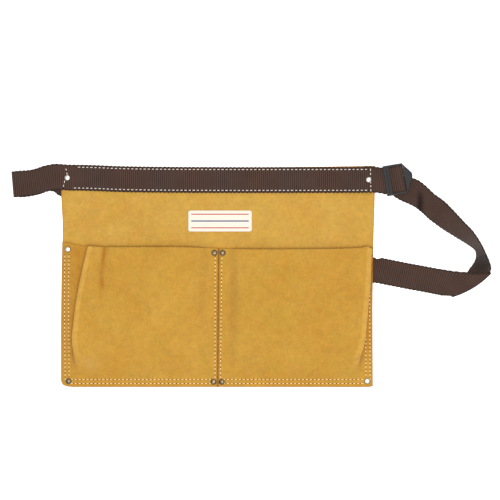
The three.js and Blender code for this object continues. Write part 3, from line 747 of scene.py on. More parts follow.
def fold_shade(pocket, height, u, whole):
    """Painted shade under and beside the folds, in the valley and by the centre groove, and a painted
    highlight on a fold's edge and on the front beside it.
    """
    shade = np.zeros_like(u)
    folded = ramp(read(pocket["folds"], "turn", height) / SHADED_TURN)
    crease = u[CREASE_START:RIDGE_START].min()
    beside = np.maximum(crease - u[:FOLD_START], 0)
    shade[:FOLD_START] = folded * (UNDER_BASE + UNDER_SHADE * np.exp(-beside / UNDER_SHADE_RUN))
    shade[FOLD_START:HIGHLIGHT_START] = FOLD_SHADE * folded
    shade[HIGHLIGHT_START:FRONT_START] = -FOLD_PAINTED_HIGHLIGHT * folded
    front = u[FRONT_START:]
    valley = VALLEY_PLACE * read(pocket["valley"], "place", height) + VALLEY_SHADE_SHIFT
    depth = read(pocket["valley"], "depth", height)
    side = np.where(front < valley, VALLEY_SHADE_STEEP, VALLEY_SHADE_WIDTH)
    shade[FRONT_START:] = VALLEY_SHADE * depth * np.exp(-(((front - valley) / side) ** 2))
    shade[FRONT_START:] -= FRONT_PAINTED_HIGHLIGHT * folded * np.exp(-(front - crease) / FRONT_HIGHLIGHT_RUN)
    return shade + CENTRE_SHADE * np.exp(-(whole - u) / CENTRE_SHADE_RUN)


def pocket_piece(name, pocket):
    front = []
    back = []
    shade = []
    for height in with_edges(POCKET_HEIGHT, 1.6):
        u, z, length, outer, whole = pocket_section(pocket, height)
        slant = np.arctan2(np.gradient(z), np.gradient(u))
        x = outer - pocket["side"] * u
        y = pocket_y(pocket, height, u, length, whole)
        z = z + panel_lift(x, y)
        edge = np.minimum.reduce([
            length, length[-1] - length, np.full_like(u, min(height, 1 - height) * POCKET_HEIGHT)
        ])
        half = LEATHER * edge_share(edge) / 2
        out_x = pocket["side"] * np.sin(slant) * half
        out_z = np.cos(slant) * half
        front.append(np.stack([x + out_x, y, z + out_z], axis=-1))
        back.append(np.stack([x - out_x, y, z - out_z], axis=-1))
        rim = np.minimum(length, height * POCKET_HEIGHT)
        shade.append(fold_shade(pocket, height, u, whole) + EDGE_SHADE * np.exp(-rim / EDGE_SHADE_RUN))
    return closed_sheet(name, np.array(front), np.array(back), np.array(shade))


# The belt

def buckle_spot(u, v=0):
    x, y = turned(u, v, math.radians(BUCKLE_TURN))
    return BUCKLE_X + x, BAND_Y + BUCKLE_LIFT + y


def fold_rows(x, y, low, high, heading, shape, steps=16):
    """Rows round a fold: half a circle about the crease, from one layer to the next."""
    radius = (high - low) / 2
    rows = []
    for angle in np.linspace(-math.pi / 2, math.pi / 2, steps + 1):
        out = radius * math.cos(angle)
        z = low + radius + radius * math.sin(angle)
        rows.append((x + out * math.cos(heading), y + out * math.sin(heading), z, *shape))
    return rows


def buckle_rows():
    across = 90 + BUCKLE_TURN
    turned = (across, 0, FULL_SPAN)
    tail_x = HALF_PANEL - TAIL_LAP
    outer_u = END_BAR_U - END_BAR / 2
    wrap = buckle_spot(BAR_RIGHT - BAR_HEIGHT / 6)
    return [
        (tail_x, BAND_Y + TAIL_LIFT, UNDER_Z, 90, 0, 1),
        (HALF_PANEL, BAND_Y + TAIL_LIFT / 2, UNDER_Z, 92, 0, 1),
        (*buckle_spot(outer_u, -SEAT_GAP), UNDER_Z, *turned),
        *fold_rows(*wrap, UNDER_Z, CREST_Z, math.radians(BUCKLE_TURN), turned),
        (*buckle_spot(MIDDLE_BAR_U - MIDDLE_BAR / 3), CREST_Z, *turned),
        (*buckle_spot(BAR_LEFT - SLOT * 0.4), lerp(OVER_Z, CREST_Z, 0.5), *turned),
        (*buckle_spot(END_BAR_U + 0.5), OVER_Z, *turned),
        (*buckle_spot(outer_u, -SEAT_GAP), OVER_Z, *turned),
        (HALF_PANEL + SEAT_GAP, BAND_Y, OVER_Z, 91, 0, 1),
        (tail_x - ROW_GAP, BAND_Y, OVER_Z, 90, 0, 1),
    ]


def panel_front_under_band(x, y):
    samples = [panel_lift(x, y + s * HALF_WEBBING) for s in (-1, -0.5, 0, 0.5, 1)]
    return LEATHER + np.maximum.reduce(samples)


def band_centre(x):
    return BAND_Y + WEBBING_WIDTH * read(BAND_RISE, "rise", (x + HALF_PANEL) / PANEL_WIDTH)


def band_rows():
    start = HALF_PANEL - TAIL_LAP - LAP_RUN
    rows = []
    for x in np.linspace(start, -HALF_PANEL + ROW_GAP, 40, endpoint=False):
        y = float(band_centre(x))
        z = float(panel_front_under_band(x, y)) + SEAT_GAP + WEBBING / 2
        rows.append((x, y, z, 90, 0, 1))
    return rows


def left_rows():
    high = STRAP_LIFT + LEATHER + SEAT_GAP + WEBBING / 2
    low = WEBBING / 2

    def place(rows, z):
        x = -HALF_PANEL - LEFT_REACH * rows["reach"]
        y = BAND_Y - WEBBING_WIDTH * rows["drop"]
        return [(a, b, z, across, 0, 1) for a, b, across in zip(x, y, rows["across"])]

    x, y, _, across, _, _ = place(LEFT_FOLD, low)[0]
    crease = fold_rows(x, y, low, high, math.radians(across + 90), (across, 0, 1))
    return [*place(LEFT_STRAP, high), *crease[::-1], *place(LEFT_RETURN, low)]


def hidden_rows():
    rows = []
    for x in np.linspace(HIDDEN_START[0], HIDDEN_END[0] - 4 * ROW_GAP, 41):
        y, heading = hidden_line(x)
        span = 1 - NARROWING * ramp((x - HIDDEN_END[0] + NARROW_START) / NARROW_RUN)
        rows.append((x, float(y), WEBBING / 2, 90 + math.degrees(heading), 0, span))
    return rows


def smoothed(rows, steps):
    """A table with extra rows on a smooth curve through its own."""
    columns = list(rows)
    count = len(rows[columns[0]])
    indexed = {**rows, "at": np.arange(count, dtype=float)}
    place = np.linspace(0, count - 1, (count - 1) * steps + 1)
    return {column: read(indexed, column, place) for column in columns}


def loop_rows():
    """The free loop at the right. Where it is tilted, it stands on its lower edge."""
    layer = WEBBING + SEAT_GAP

    def place(rows):
        stand = rows["span"] * HALF_WEBBING * np.sin(np.radians(rows["tilt"])) + WEBBING / 2 + STAND_GAP
        x = HALF_PANEL + LOOP_REACH * rows["reach"]
        y = BAND_Y - LOOP_DROP * rows["drop"]
        z = stand + rows["level"] * layer
        return list(zip(x, y, z, rows["across"], rows["tilt"], rows["span"]))

    x, y, z, *shape = place(LOOP_FOLD)[0]
    crease = fold_rows(x, y, z, z + layer, math.radians(shape[0] - 90), shape)
    return [*place(smoothed(LOOP_RETURN, 2)), *crease[::-1], *place(smoothed(LOOP_RISE, 2))]


def belt_path():
    """The belt's rows with their distance along it."""
    rows = [*buckle_rows(), *band_rows(), *left_rows(), *hidden_rows(), *loop_rows()]
    path = table("x y z across tilt span", *rows)
    spots = np.stack([path["x"], path["y"], path["z"]], axis=1)
    steps = np.linalg.norm(np.diff(spots, axis=0), axis=1)
    path["at"] = np.concatenate([[0], np.cumsum(np.maximum(steps, 1e-3))])
    return path


BELT_PATH = belt_path()
LOOP_CREASE = BELT_PATH["at"][np.argmax(BELT_PATH["span"])]


def crease_bow(along, shares):
    """The fold at the far right is bowed out in the middle of the webbing."""
    heading = math.radians(float(LOOP_FOLD["across"][0]) - 90)
    out = np.array([math.cos(heading), math.sin(heading), 0])
    bow = CREASE_BOW * np.exp(-(((along - LOOP_CREASE) / CREASE_BOW_RUN) ** 2))
    return (bow[:, None] * (1 - shares[None, :] ** 2))[..., None] * out


def pinch(along, x, shares):
    """A wrinkle near the buckle, as a rise and a painted shade in it: the webbing rises on both sides of
    it.
    """
    rising = (along > LOOP_CREASE)[:, None]
    off = np.where(rising, np.abs(x - HALF_PANEL - PINCH_REACH), np.inf)
    ridge = (off / PINCH_RUN) * np.exp(1 - off / PINCH_RUN)
    ridge = np.where(np.isfinite(off), ridge, 0) ** 2
    reach = ramp((PINCH_FADE_END - shares[None, :]) / PINCH_FADE)
    height = PINCH_HEIGHT * ridge * reach
    dark = np.exp(-((off / PINCH_RUN * PINCH_SHADE) ** 2)) * reach
    return height[..., None] * np.array([0, 0, 1]), dark


def twist_shade(along, points):
    """The dark of the twist, where the webbing turns away from the light."""
    twist = np.array([HALF_PANEL + TWIST_REACH, BAND_Y - TWIST_DROP])
    away = np.linalg.norm(points[..., :2] - twist, axis=-1) / TWIST_RUN
    return np.where((along > LOOP_CREASE)[:, None], TWIST_SHADE * np.exp(-(away ** 3)), 0)


def belt_piece():
    length = BELT_PATH["at"][-1]
    along = np.linspace(0, length, int(length / BELT_STEP) + 1)
    columns = (read(BELT_PATH, column, along) for column in ("x", "y", "z", "across", "tilt", "span"))
    x, y, z, across, tilt, span = columns
    centre = np.stack([x, y, z], axis=1)
    across = np.radians(across)
    tilt = np.radians(tilt)
    width = np.stack([np.cos(tilt) * np.cos(across), np.cos(tilt) * np.sin(across), np.sin(tilt)], axis=1)
    normal = np.cross(np.gradient(centre, axis=0), width)
    normal /= np.linalg.norm(normal, axis=1, keepdims=True)
    rib = np.abs(np.sin(math.pi * along / RIB_PITCH))
    scallop = np.abs(np.sin(math.pi * along / (2 * RIB_PITCH)))
    half_width = HALF_WEBBING * span - SCALLOP * (1 - scallop)
    edge = np.array(BELT_EDGE)
    shares = np.concatenate([-edge, np.linspace(-BELT_INNER, BELT_INNER, BELT_SIDES), edge[::-1]])
    thick = WEBBING * edge_share(HALF_WEBBING * (1 - np.abs(shares)), BELT_EDGE_RADIUS)
    half_thick = (thick[None, :] - RIB_DEPTH * (1 - rib[:, None])) / 2
    middle = centre[:, None, :] + width[:, None, :] * (half_width[:, None] * shares[None, :])[..., None]
    wrinkle, shade = pinch(along, middle[..., 0], shares)
    shade = shade + twist_shade(along, middle)
    middle = middle + crease_bow(along, shares) + wrinkle
    offset = normal[:, None, :] * half_thick[..., None]
    uv = np.stack(np.broadcast_arrays(along[:, None], HALF_WEBBING * shares[None, :]), axis=-1)
    return closed_sheet("belt_webbing", middle + offset, middle - offset, shade, uv=uv * METRES)


# Stitches

def capsule():
    """A small rounded thread of unit length, width and height, as points and faces."""
    sides = 10
    rings = (-0.42, -0.3, 0, 0.3, 0.42)
    points = [(-0.5, 0, 0)]
    for place in rings:
        girth = math.sqrt(1 - (2 * abs(place)) ** 3)
        for k in range(sides):
            points.append((place, *turned(girth / 2, 0, 2 * math.pi * k / sides)))
    points.append((0.5, 0, 0))
    last = len(points) - 1
    faces = ring_faces(len(rings), sides, 1)
    for k in range(sides):
        after = (k + 1) % sides
        faces.append((0, 1 + after, 1 + k))
        faces.append((last - sides + k, last - sides + after, last))
    return np.array(points), faces


def scatter(name, spots, size):
    """One joined mesh with a capsule at each spot: x, y, z, heading."""
    unit, unit_faces = capsule()
    points = []
    faces = []
    for k, (x, y, z, heading) in enumerate(spots):
        sized = unit * np.array(size) * (1 + THREAD_VARIETY * math.sin(THREAD_BEAT * k), 1, 1)
        out_x, out_y = turned(sized[:, 0], sized[:, 1], heading)
        points.append(np.stack([x + out_x, y + out_y, z + sized[:, 2]], axis=1))
        faces += [tuple(corner + k * len(unit) for corner in face) for face in unit_faces]
    return mesh_object(name, np.concatenate(points), faces)


def along_line(points, pitch, start=0.0):
    """Spots and headings at a pitch along a line of points, each with x and y."""
    points = np.array(points, float)
    steps = np.linalg.norm(np.diff(points, axis=0), axis=1)
    at = np.concatenate([[0], np.cumsum(steps)])
    places = np.arange(start, at[-1], pitch)
    x = np.interp(places, at, points[:, 0])
    y = np.interp(places, at, points[:, 1])
    i = np.clip(np.searchsorted(at, places) - 1, 0, len(steps) - 1)
    heading = np.arctan2(points[i + 1, 1] - points[i, 1], points[i + 1, 0] - points[i, 0])
    return x, y, heading


def belt_stitch_lines():
    """Lines of stitches round the sewn band, clear of its rivets."""
    reach = HALF_WEBBING - ROW_INSET
    lines = []
    for start, rise in ((TOP_ROW_START, reach), (LOW_ROW_START, -reach)):
        x = np.linspace(-HALF_PANEL + start, HALF_PANEL - ROW_END, 60)
        lines.append(np.stack([x, band_centre(x) + rise], axis=1))
    left_y = float(band_centre(-HALF_PANEL + BAND_RIVET_INSET))
    for row in (OVER_RIVET_ROW, UNDER_RIVET_ROW):
        lines.append([(-HALF_PANEL + x, left_y + y) for x, y in row])
    lines.append([(HALF_PANEL - x, BAND_Y + y) for x, y in END_ROW])
    return lines


def belt_top(x, _):
    """Height of the band's face, from the buckle's lap to its left end."""
    first = int(np.argmax(BELT_PATH["z"] == OVER_Z))
    band = slice(first + 1, int(np.argmin(BELT_PATH["x"])))
    return np.interp(x, BELT_PATH["x"][band][::-1], BELT_PATH["z"][band][::-1]) + WEBBING / 2


def pocket_stitch_lines(pocket):
    """Double rows down the side and along the bottom, and one down the centre seam."""
    side = pocket["side"]
    lines = []
    for inset, top in zip((SIDE_ROW, SIDE_ROW + ROW_PAIR), pocket["row_tops"]):
        points = []
        for height in np.linspace(ROW_FOOT, top, 40):
            lean = inset + pocket["row_lean"] * ramp(1 - height)
            y = PANEL_BOTTOM + POCKET_HEIGHT * height
            points.append((pocket_outer(pocket, height) - side * lean, y))
        lines.append(points)
    outer = pocket_outer(pocket, 0) - side * BOTTOM_ROW_OUTER
    inner = pocket_groove(pocket, 0) + side * BOTTOM_ROW_INNER
    for y in (PANEL_BOTTOM + BOTTOM_ROW_RISE, PANEL_BOTTOM + BOTTOM_ROW_RISE + ROW_PAIR):
        lines.append([(outer, y), (inner, y)])
    centre = []
    for height in np.linspace(*CENTRE_ROW_SPAN, 20):
        x = pocket_groove(pocket, height) + side * lerp(*CENTRE_ROW, height)
        centre.append((x, PANEL_BOTTOM + POCKET_HEIGHT * height))
    lines.append(centre)
    return lines


def stitches(name, lines, pitch, height_at, thread_material, painted_hole_shade):
    threads = []
    holes = []
    for points in lines:
        x, y, heading = along_line(points, pitch, pitch / 2)
        for a, b, turn in zip(x, y, heading):
            z = float(height_at(a, b))
            threads.append((a, b, z + THREAD_LIFT, turn + THREAD_LEAN))
            x_out, y_out = turned(pitch / 2, 0, turn)
            hole = (a + x_out, b + y_out)
            holes.append((*hole, float(height_at(*hole)), turn))
    thread = scatter(name + "_thread", threads, (STITCH_LENGTH, STITCH_WIDTH, STITCH_HEIGHT))
    # A flat dark capsule between stitches for each needle hole: painted shade in the hole
    needle = scatter(name + "_needle_holes", holes, (HOLE_LENGTH, HOLE_WIDTH, HOLE_HEIGHT))
    finish_piece(thread, thread_material)
    finish_piece(needle, painted_hole_shade)


def flange_top(x, y):
    return FLANGE_Z + LEATHER / 2 + panel_lift(x, y)


# Rivets

def seam_rivet(pocket, y, inset):
    """A rivet's place at an inset from the pocket's side or, without one, by the centre seam."""
    height = (y - PANEL_BOTTOM) / POCKET_HEIGHT
    if inset is None:
        return groove_place(height) + pocket["side"] * CENTRE_RIVET_PLACE, y
    return pocket_outer(pocket, height) - pocket["side"] * inset, y


def rivet_places():
    """Each rivet's place and the thickness that it grips."""
    left, right = LEFT_POCKET, RIGHT_POCKET
    band_left = (-HALF_PANEL + BAND_RIVET_INSET, BAND_Y + BAND_RIVET_RISE)
    band_right = (HALF_PANEL - BAND_RIVET_INSET, BAND_Y)
    band_grip = float(panel_front_under_band(*band_left)) + SEAT_GAP + WEBBING
    lap_grip = OVER_Z + WEBBING / 2
    places = {
        "belt_rivet_left": (band_left, band_grip - float(panel_lift(*band_left))),
        "belt_rivet_right": (band_right, lap_grip - float(panel_lift(*band_right))),
    }
    seams = {
        "left_top": (left, HIGH_RIVET_Y + CORNER_RIVET_RISE, SEAM_RIVET),
        "left_bottom": (left, LOW_RIVET_Y, SEAM_RIVET + CORNER_RIVET_INSET),
        "centre_top_left": (left, HIGH_RIVET_Y - RIVET_STEP, None),
        "centre_top_right": (right, HIGH_RIVET_Y - RIVET_STEP, None),
        "centre_bottom_left": (left, LOW_RIVET_Y - RIVET_STEP, None),
        "centre_bottom_right": (right, LOW_RIVET_Y - RIVET_STEP, None),
        "right_top": (right, HIGH_RIVET_Y, SEAM_RIVET - RIVET_STEP),
        "right_bottom": (right, LOW_RIVET_Y, SEAM_RIVET),
    }
    for name, spot in seams.items():
        places["pocket_rivet_" + name] = (seam_rivet(*spot), FLANGE_Z + LEATHER / 2)
    return places


def lathe_faces(profile, sides):
    """Points and faces of a profile of radius and height turned round the upright axis."""
    points = []
    for radius, z in profile:
        for k in range(sides):
            points.append((*turned(radius, 0, 2 * math.pi * k / sides), z))
    return np.array(points), ring_faces(len(profile), sides)


def rivet_piece(name, place, grip, metal, painted_rim_metal):
    head = grip + SEAT_GAP
    tiny = 0.02
    profile = [
        (tiny, 0),
        (WASHER_RADIUS - WASHER_EDGE, 0),
        (WASHER_RADIUS, WASHER_EDGE),
        (WASHER_RADIUS, WASHER_HEIGHT),
        (SHANK_RADIUS, WASHER_HEIGHT),
        (SHANK_RADIUS, head),
        (HEAD_RADIUS - HEAD_EDGE, head),
        (HEAD_RADIUS, head + HEAD_EDGE_RISE),
    ]
    for t in np.linspace(0.12, 1, 9):
        angle = t * math.pi / 2
        radius = max(HEAD_RADIUS * math.cos(angle), tiny)
        profile.append((radius, head + HEAD_HEIGHT * math.sin(angle) ** 0.8))
    points, faces = lathe_faces(profile, 32)
    x, y = place
    points = points + np.array([x, y, float(panel_lift(x, y))])
    piece = finish_piece(new_mesh(name + "_nickel", points, faces), metal, [name])
    # Faces near the head's edge get the second material: a painted dark rim for the shade and dark
    # reflection there
    piece.data.materials.append(painted_rim_metal)
    for face in piece.data.polygons:
        away = (face.center / METRES).xy - Vector((x, y))
        face.material_index = 1 if away.length > HEAD_RADIUS * RIM_SHARE else 0


# The label patch

def label_piece():
    edge = np.array(LABEL_EDGE)
    xs = np.concatenate([edge, np.linspace(4, LABEL_WIDTH - 4, 28), LABEL_WIDTH - edge[::-1]])
    from_end = np.minimum(xs, LABEL_WIDTH - xs)
    inward = np.maximum(LABEL_CORNER - from_end, 0)
    half = LABEL_HEIGHT / 2 - (LABEL_CORNER - np.sqrt(LABEL_CORNER ** 2 - inward ** 2))
    ups = with_edges(LABEL_HEIGHT, 1.2) * 2 - 1
    x = np.repeat((LABEL_SHIFT - LABEL_WIDTH / 2 + xs)[:, None], len(ups), axis=1)
    y = LABEL_RISE + half[:, None] * ups[None, :]
    distance = np.minimum(from_end[:, None], half[:, None] * (1 - np.abs(ups))[None, :])
    base = panel_lift(x, y) + LEATHER + SEAT_GAP
    crown = LABEL_THICKNESS * lerp(LABEL_RIM, 1, ramp(distance / LABEL_RIM_RUN))
    front = np.stack([x, y, base + crown], axis=-1)
    back = np.stack([x, y, base], axis=-1)
    uv = np.stack([x - LABEL_SHIFT, y - LABEL_RISE], axis=-1) * METRES
    return closed_sheet("label_patch", front, back, uv=uv)


# The buckle

def prism(outline, low, height):
    """A straight solid on an outline in the buckle's own axes."""
    count = len(outline)
    points = [(u, v, z) for z in (low, low + height) for u, v in outline]
    faces = [tuple(range(count))[::-1], tuple(range(count, 2 * count)), *ring_faces(2, count)]
    return mesh_object("prism", points, faces, smooth=False)


def curve(a, b, c, steps=8):
    """Points on a quadratic curve after its first."""
    points = []
    for t in np.linspace(0, 1, steps + 1)[1:]:
        points.append(tuple(lerp(lerp(p, q, t), lerp(q, r, t), t) for p, q, r in zip(a, b, c)))
    return points


def apply_modifiers(piece):
    graph = bpy.context.evaluated_depsgraph_get()
    mesh = bpy.data.meshes.new_from_object(piece.evaluated_get(graph))
    piece.modifiers.clear()
    piece.data = mesh


def buckle_piece():
    half = BUCKLE_HALF
    left = END_BAR_U - END_BAR
    rail_end = NOSE_U - NOSE_SLOT / 3
    rail_u = rail_end - RAIL / 2
    inner = half - RAIL
    rail_height = END_BAR_Z + BAR_HEIGHT - BAR_Z
    outline = [(NOSE_U + NOSE * u, half * v) for u, v in NOSE_OUTLINE]
    nose = [(rail_end - RAIL, -half), (rail_end + 0.5, -half), *outline[:2]]
    nose += curve(*outline[1:4]) + curve(*outline[3:], 4)
    nose += [(rail_end, half), (rail_end - RAIL, half)]
    groove = [left + END_BAR * share for share in BAR_GROOVE]

    def box(a, b, c, d):
        return [(a, c), (b, c), (b, d), (a, d)]

    parts = [
        prism(box(left, END_BAR_U, -half, half), END_BAR_Z, BAR_HEIGHT),
        prism(box(BAR_LEFT, BAR_RIGHT, -half, half), BAR_Z, BAR_HEIGHT),
        prism(nose, END_BAR_Z, BAR_HEIGHT),
        prism(box(left, rail_u, -half, -inner), BAR_Z, rail_height),
        prism(box(left, rail_u, inner, half), BAR_Z, rail_height),
        prism(box(BAR_RIGHT, NOSE_U, -inner, inner), BAR_Z, rail_height + BAR_HEIGHT),
        prism(box(*groove, -inner, inner), END_BAR_Z + BAR_HEIGHT / 2, BAR_HEIGHT),
    ]
    whole = parts[0]
    for part in parts[1:]:
        join = whole.modifiers.new("join", "BOOLEAN")
        join.operation = "DIFFERENCE" if part in parts[-2:] else "UNION"
        join.solver = "EXACT"
        join.object = part
    bevel = whole.modifiers.new("bevel", "BEVEL")
    bevel.width = BUCKLE_BEVEL * METRES
    bevel.segments = 3
    bevel.limit_method = "ANGLE"
    apply_modifiers(whole)
    for part in parts[1:]:
        bpy.data.objects.remove(part)
    whole.name = "buckle_moulding"
    for vertex in whole.data.vertices:
        u, v, z = vertex.co / METRES
        vertex.co = Vector((*buckle_spot(u, v), z)) * METRES
    return whole


# Materials

def linear(red, green, blue):
    """A colour as the display shows it, 0 to 255, in linear light."""
    levels = [c / 255 for c in (red, green, blue)]
    return [c / 12.92 if c < 0.04045 else ((c + 0.055) / 1.055) ** 2.4 for c in levels] + [1]


class Surface:
    """A material and short ways of adding to its nodes."""

    def __init__(self, name, **sockets):
        self.material = bpy.data.materials.new(name)
        self.material.use_nodes = True
        self.tree = self.material.node_tree
        self.shader = self.tree.nodes["Principled BSDF"]
        for socket, value in sockets.items():
            self.shader.inputs[socket.replace("_", " ")].default_value = value

    def add(self, kind, inputs, **settings):
        node = self.tree.nodes.new("ShaderNode" + kind)
        for key, value in settings.items():
            setattr(node, key, value)
        for key, value in inputs.items():
            if isinstance(value, bpy.types.NodeSocket):
                self.tree.links.new(value, node.inputs[key])
            else:
                node.inputs[key].default_value = value
        return node

    def place(self):
        return self.add("TexCoord", {}).outputs["Object"]

    def shade(self):
        return self.add("Attribute", {}, attribute_name="shade").outputs["Fac"]

    def uv(self):
        return self.add("UVMap", {}, uv_map="sheet").outputs["UV"]

    def noise(self, place, scale, detail=3, rough=0.55, distortion=0.0):
        inputs = {"Vector": place, "Scale": scale, "Detail": detail, "Roughness": rough}
        return self.add("TexNoise", {**inputs, "Distortion": distortion}).outputs["Fac"]

    def remap(self, value, low, high, to_low=0.0, to_high=1.0):
        inputs = {"Value": value, "From Min": low, "From Max": high}
        return self.add("MapRange", {**inputs, "To Min": to_low, "To Max": to_high}).outputs[0]

    def mix(self, factor, a, b, blend="MIX"):
        settings = {"data_type": "RGBA", "blend_type": blend}
        return self.add("Mix", {0: factor, 6: a, 7: b}, **settings).outputs[2]

    def maths(self, operation, a, b=0.0):
        return self.add("Math", {0: a, 1: b}, operation=operation).outputs[0]

    def mark(self, place, colour, x, y, across, up, turn, strength, tint):
        """A soft oval of another colour, placed and sized in millimetres."""
        inputs = {
            "Vector": place,
            "Location": (x * METRES, y * METRES, 0),
            "Rotation": (0, 0, math.radians(turn)),
            "Scale": (across * METRES, up * METRES, 1),
        }
        inside = self.add("Mapping", inputs, vector_type="TEXTURE").outputs[0]
        away = self.add("VectorMath", {0: inside}, operation="LENGTH").outputs["Value"]
        return self.mix(self.remap(away, 0.1, 1, strength, 0), colour, tint)

    def bump(self, height, distance, strength=1.0, below=None):
        inputs = {"Height": height, "Distance": distance, "Strength": strength}
        if below is not None:
            inputs["Normal"] = below
        return self.add("Bump", inputs).outputs["Normal"]

    def finish(self, colour=None, roughness=None, normal=None):
        for socket, value in (("Base Color", colour), ("Roughness", roughness), ("Normal", normal)):
            if value is not None:
                self.tree.links.new(value, self.shader.inputs[socket])
        return self.material


# Marks of another colour: x, y, half width, half height, turn, strength and colour. Most are stains and
# worn places; two darker ones lie on the left pocket's flange beside its fold, and the darkest is painted
# shade in the right pocket's fold gap.
PANEL_MARKS = (
    (-118.3, 69.4, 10, 5, 10, 0.35, linear(196, 134, 46)),
    (-111.6, 38, 6, 3, 0, 0.4, linear(190, 128, 44)),
)
POCKET_MARKS = (
    (-111.6, -6.3, 3, 7, 8, 0.7, linear(162, 98, 22)),
    (-110.6, 20.9, 2.6, 9, -6, 0.6, linear(164, 102, 24)),
    (-134.8, 8.2, 4, 20, 10, 0.35, linear(170, 108, 28)),
    (-137, 24, 6, 9, 0, 0.35, linear(170, 112, 32)),
    # Painted shade in the gap between the right pocket's fold and its flange
    (149, 9.5, 2, 17, 1, 1, linear(134, 70, 10)),
    (-124, -84, 11, 13, -20, 0.3, linear(200, 158, 88)),
    (-40, 2, 16, 24, 15, 0.25, linear(190, 140, 44)),
    (60, -40, 26, 18, -25, 0.3, linear(176, 142, 50)),
)


def leather_material(name, light, warm, dull, fresh, marks):
    """Split leather: cloudy colour, small marks, a soft nap, the marks named in a table, and painted
    shade and highlights from the mesh's shade values.
    """
    skin = Surface(name, Sheen_Weight=0.12, Sheen_Roughness=0.6, Specular_IOR_Level=0.12)
    place = skin.place()
    cloud = skin.remap(skin.noise(place, 26, 4, 0.62, 0.3), 0.3, 0.7)
    blotch = skin.remap(skin.noise(place, 70, 3, 0.6, 0.4), 0.4, 0.75)
    fleck = skin.remap(skin.noise(place, 420, 4, 0.7), 0.35, 0.7)
    nap = skin.noise(place, 1700, 3, 0.7)
    colour = skin.mix(cloud, light, warm)
    colour = skin.mix(skin.maths("MULTIPLY", blotch, 0.4), colour, dull)
    green = skin.remap(skin.noise(place, 44, 4, 0.62, 0.5), 0.42, 0.68, 0, 0.45)
    colour = skin.mix(green, colour, fresh)
    for mark in marks:
        colour = skin.mark(place, colour, *mark)
    # Positive shade values paint shade, and darken the cut edges, in dark orange-brown; negative ones
    # paint highlights in pale tan
    fold = skin.shade()
    colour = skin.mix(skin.remap(fold, 0, 1), colour, linear(152, 92, 12))
    colour = skin.mix(skin.remap(fold, 0, -1, 0, 0.6), colour, linear(228, 182, 92))
    mottle = skin.noise(place, 170, 4, 0.65, 0.6)
    shade = skin.remap(fleck, 0, 1, 0.92, 1.06)
    shade = skin.maths("MULTIPLY", shade, skin.remap(mottle, 0.36, 0.64, 0.93, 1.04))
    shade = skin.maths("MULTIPLY", shade, skin.remap(nap, 0.3, 0.7, 0.93, 1.06))
    grey = skin.add("CombineColor", {0: shade, 1: shade, 2: shade}).outputs[0]
    colour = skin.mix(1.0, colour, grey, "MULTIPLY")
    relief = skin.bump(blotch, 0.0006, 0.35)
    relief = skin.bump(fleck, 0.0003, 0.5, relief)
    relief = skin.bump(nap, 0.00018, 0.6, relief)
    return skin.finish(colour, skin.remap(nap, 0.3, 0.7, 0.86, 0.98), relief)


def webbing_material():
    weave = Surface("webbing_weave", Sheen_Weight=0.06, Sheen_Roughness=0.5, Specular_IOR_Level=0.18)
    split = weave.add("SeparateXYZ", {"Vector": weave.uv()})
    along, across = split.outputs[0], split.outputs[1]
    turn = 2 * math.pi / (RIB_PITCH * METRES)
    rib = weave.maths("ABSOLUTE", weave.maths("SINE", weave.maths("MULTIPLY", along, turn / 2)))
    yarn_turn = 2 * math.pi / (1.1 * METRES)
    slant = weave.maths("MULTIPLY", across, yarn_turn)
    slant = weave.maths("ADD", slant, weave.maths("MULTIPLY", along, turn))
    yarn = weave.remap(weave.maths("SINE", slant), -1, 1)
    place = weave.place()
    fibre = weave.noise(place, 2600, 3, 0.7)
    patch = weave.noise(place, 60, 3)
    # Darkest in the grooves between the ribs: painted shade in the grooves
    colour = weave.mix(weave.remap(rib, 0.15, 0.85), linear(20, 13, 10), linear(75, 54, 45))
    colour = weave.mix(weave.maths("MULTIPLY", yarn, 0.3), colour, linear(42, 29, 24))
    colour = weave.mix(weave.remap(patch, 0.35, 0.7, 0, 0.25), colour, linear(80, 60, 51))
    colour = weave.mix(weave.remap(fibre, 0.3, 0.75, 0, 0.2), colour, linear(98, 77, 66))
    edge = weave.remap(weave.maths("ABSOLUTE", across), 0.0106, 0.0124, 0, 0.6)
    colour = weave.mix(edge, colour, linear(26, 17, 14))
    # The mesh's shade values paint shade into the wrinkle and the twist
    colour = weave.mix(weave.remap(weave.shade(), 0, 1, 0, 0.85), colour, linear(16, 10, 8))
    relief = weave.bump(yarn, 0.00018, 0.7)
    relief = weave.bump(fibre, 0.0001, 0.7, relief)
    return weave.finish(colour, weave.remap(fibre, 0.3, 0.7, 0.75, 0.95), relief)


def plastic_material():
    shell = Surface("moulded_plastic", Specular_IOR_Level=0.2)
    place = shell.place()
    grain = shell.noise(place, 3200, 2, 0.5)
    cloud = shell.noise(place, 140, 3)
    colour = shell.mix(shell.remap(cloud, 0.35, 0.65), linear(34, 34, 35), linear(44, 44, 45))
    relief = shell.bump(grain, 0.00004, 0.5)
    return shell.finish(colour, shell.remap(cloud, 0.3, 0.7, 0.5, 0.65), relief)


def grained_material(name, colours, grain, ends, relief, rough, **sockets):
    """A material whose colour, relief and roughness all follow one grain."""
    surface = Surface(name, **sockets)
    noise = surface.noise(surface.place(), *grain)
    colour = surface.mix(surface.remap(noise, *ends), *colours)
    bump = surface.bump(noise, *relief)
    return surface.finish(colour, surface.remap(noise, 0.3, 0.7, *rough), bump)


def nickel_material(name, bright, dark, gloss):
    grain, relief, rough = (700, 3, 0.6), (0.00006, 0.5), (gloss, gloss + 0.2)
    return grained_material(name, (bright, dark), grain, (0.4, 0.7), relief, rough, Metallic=0.85)


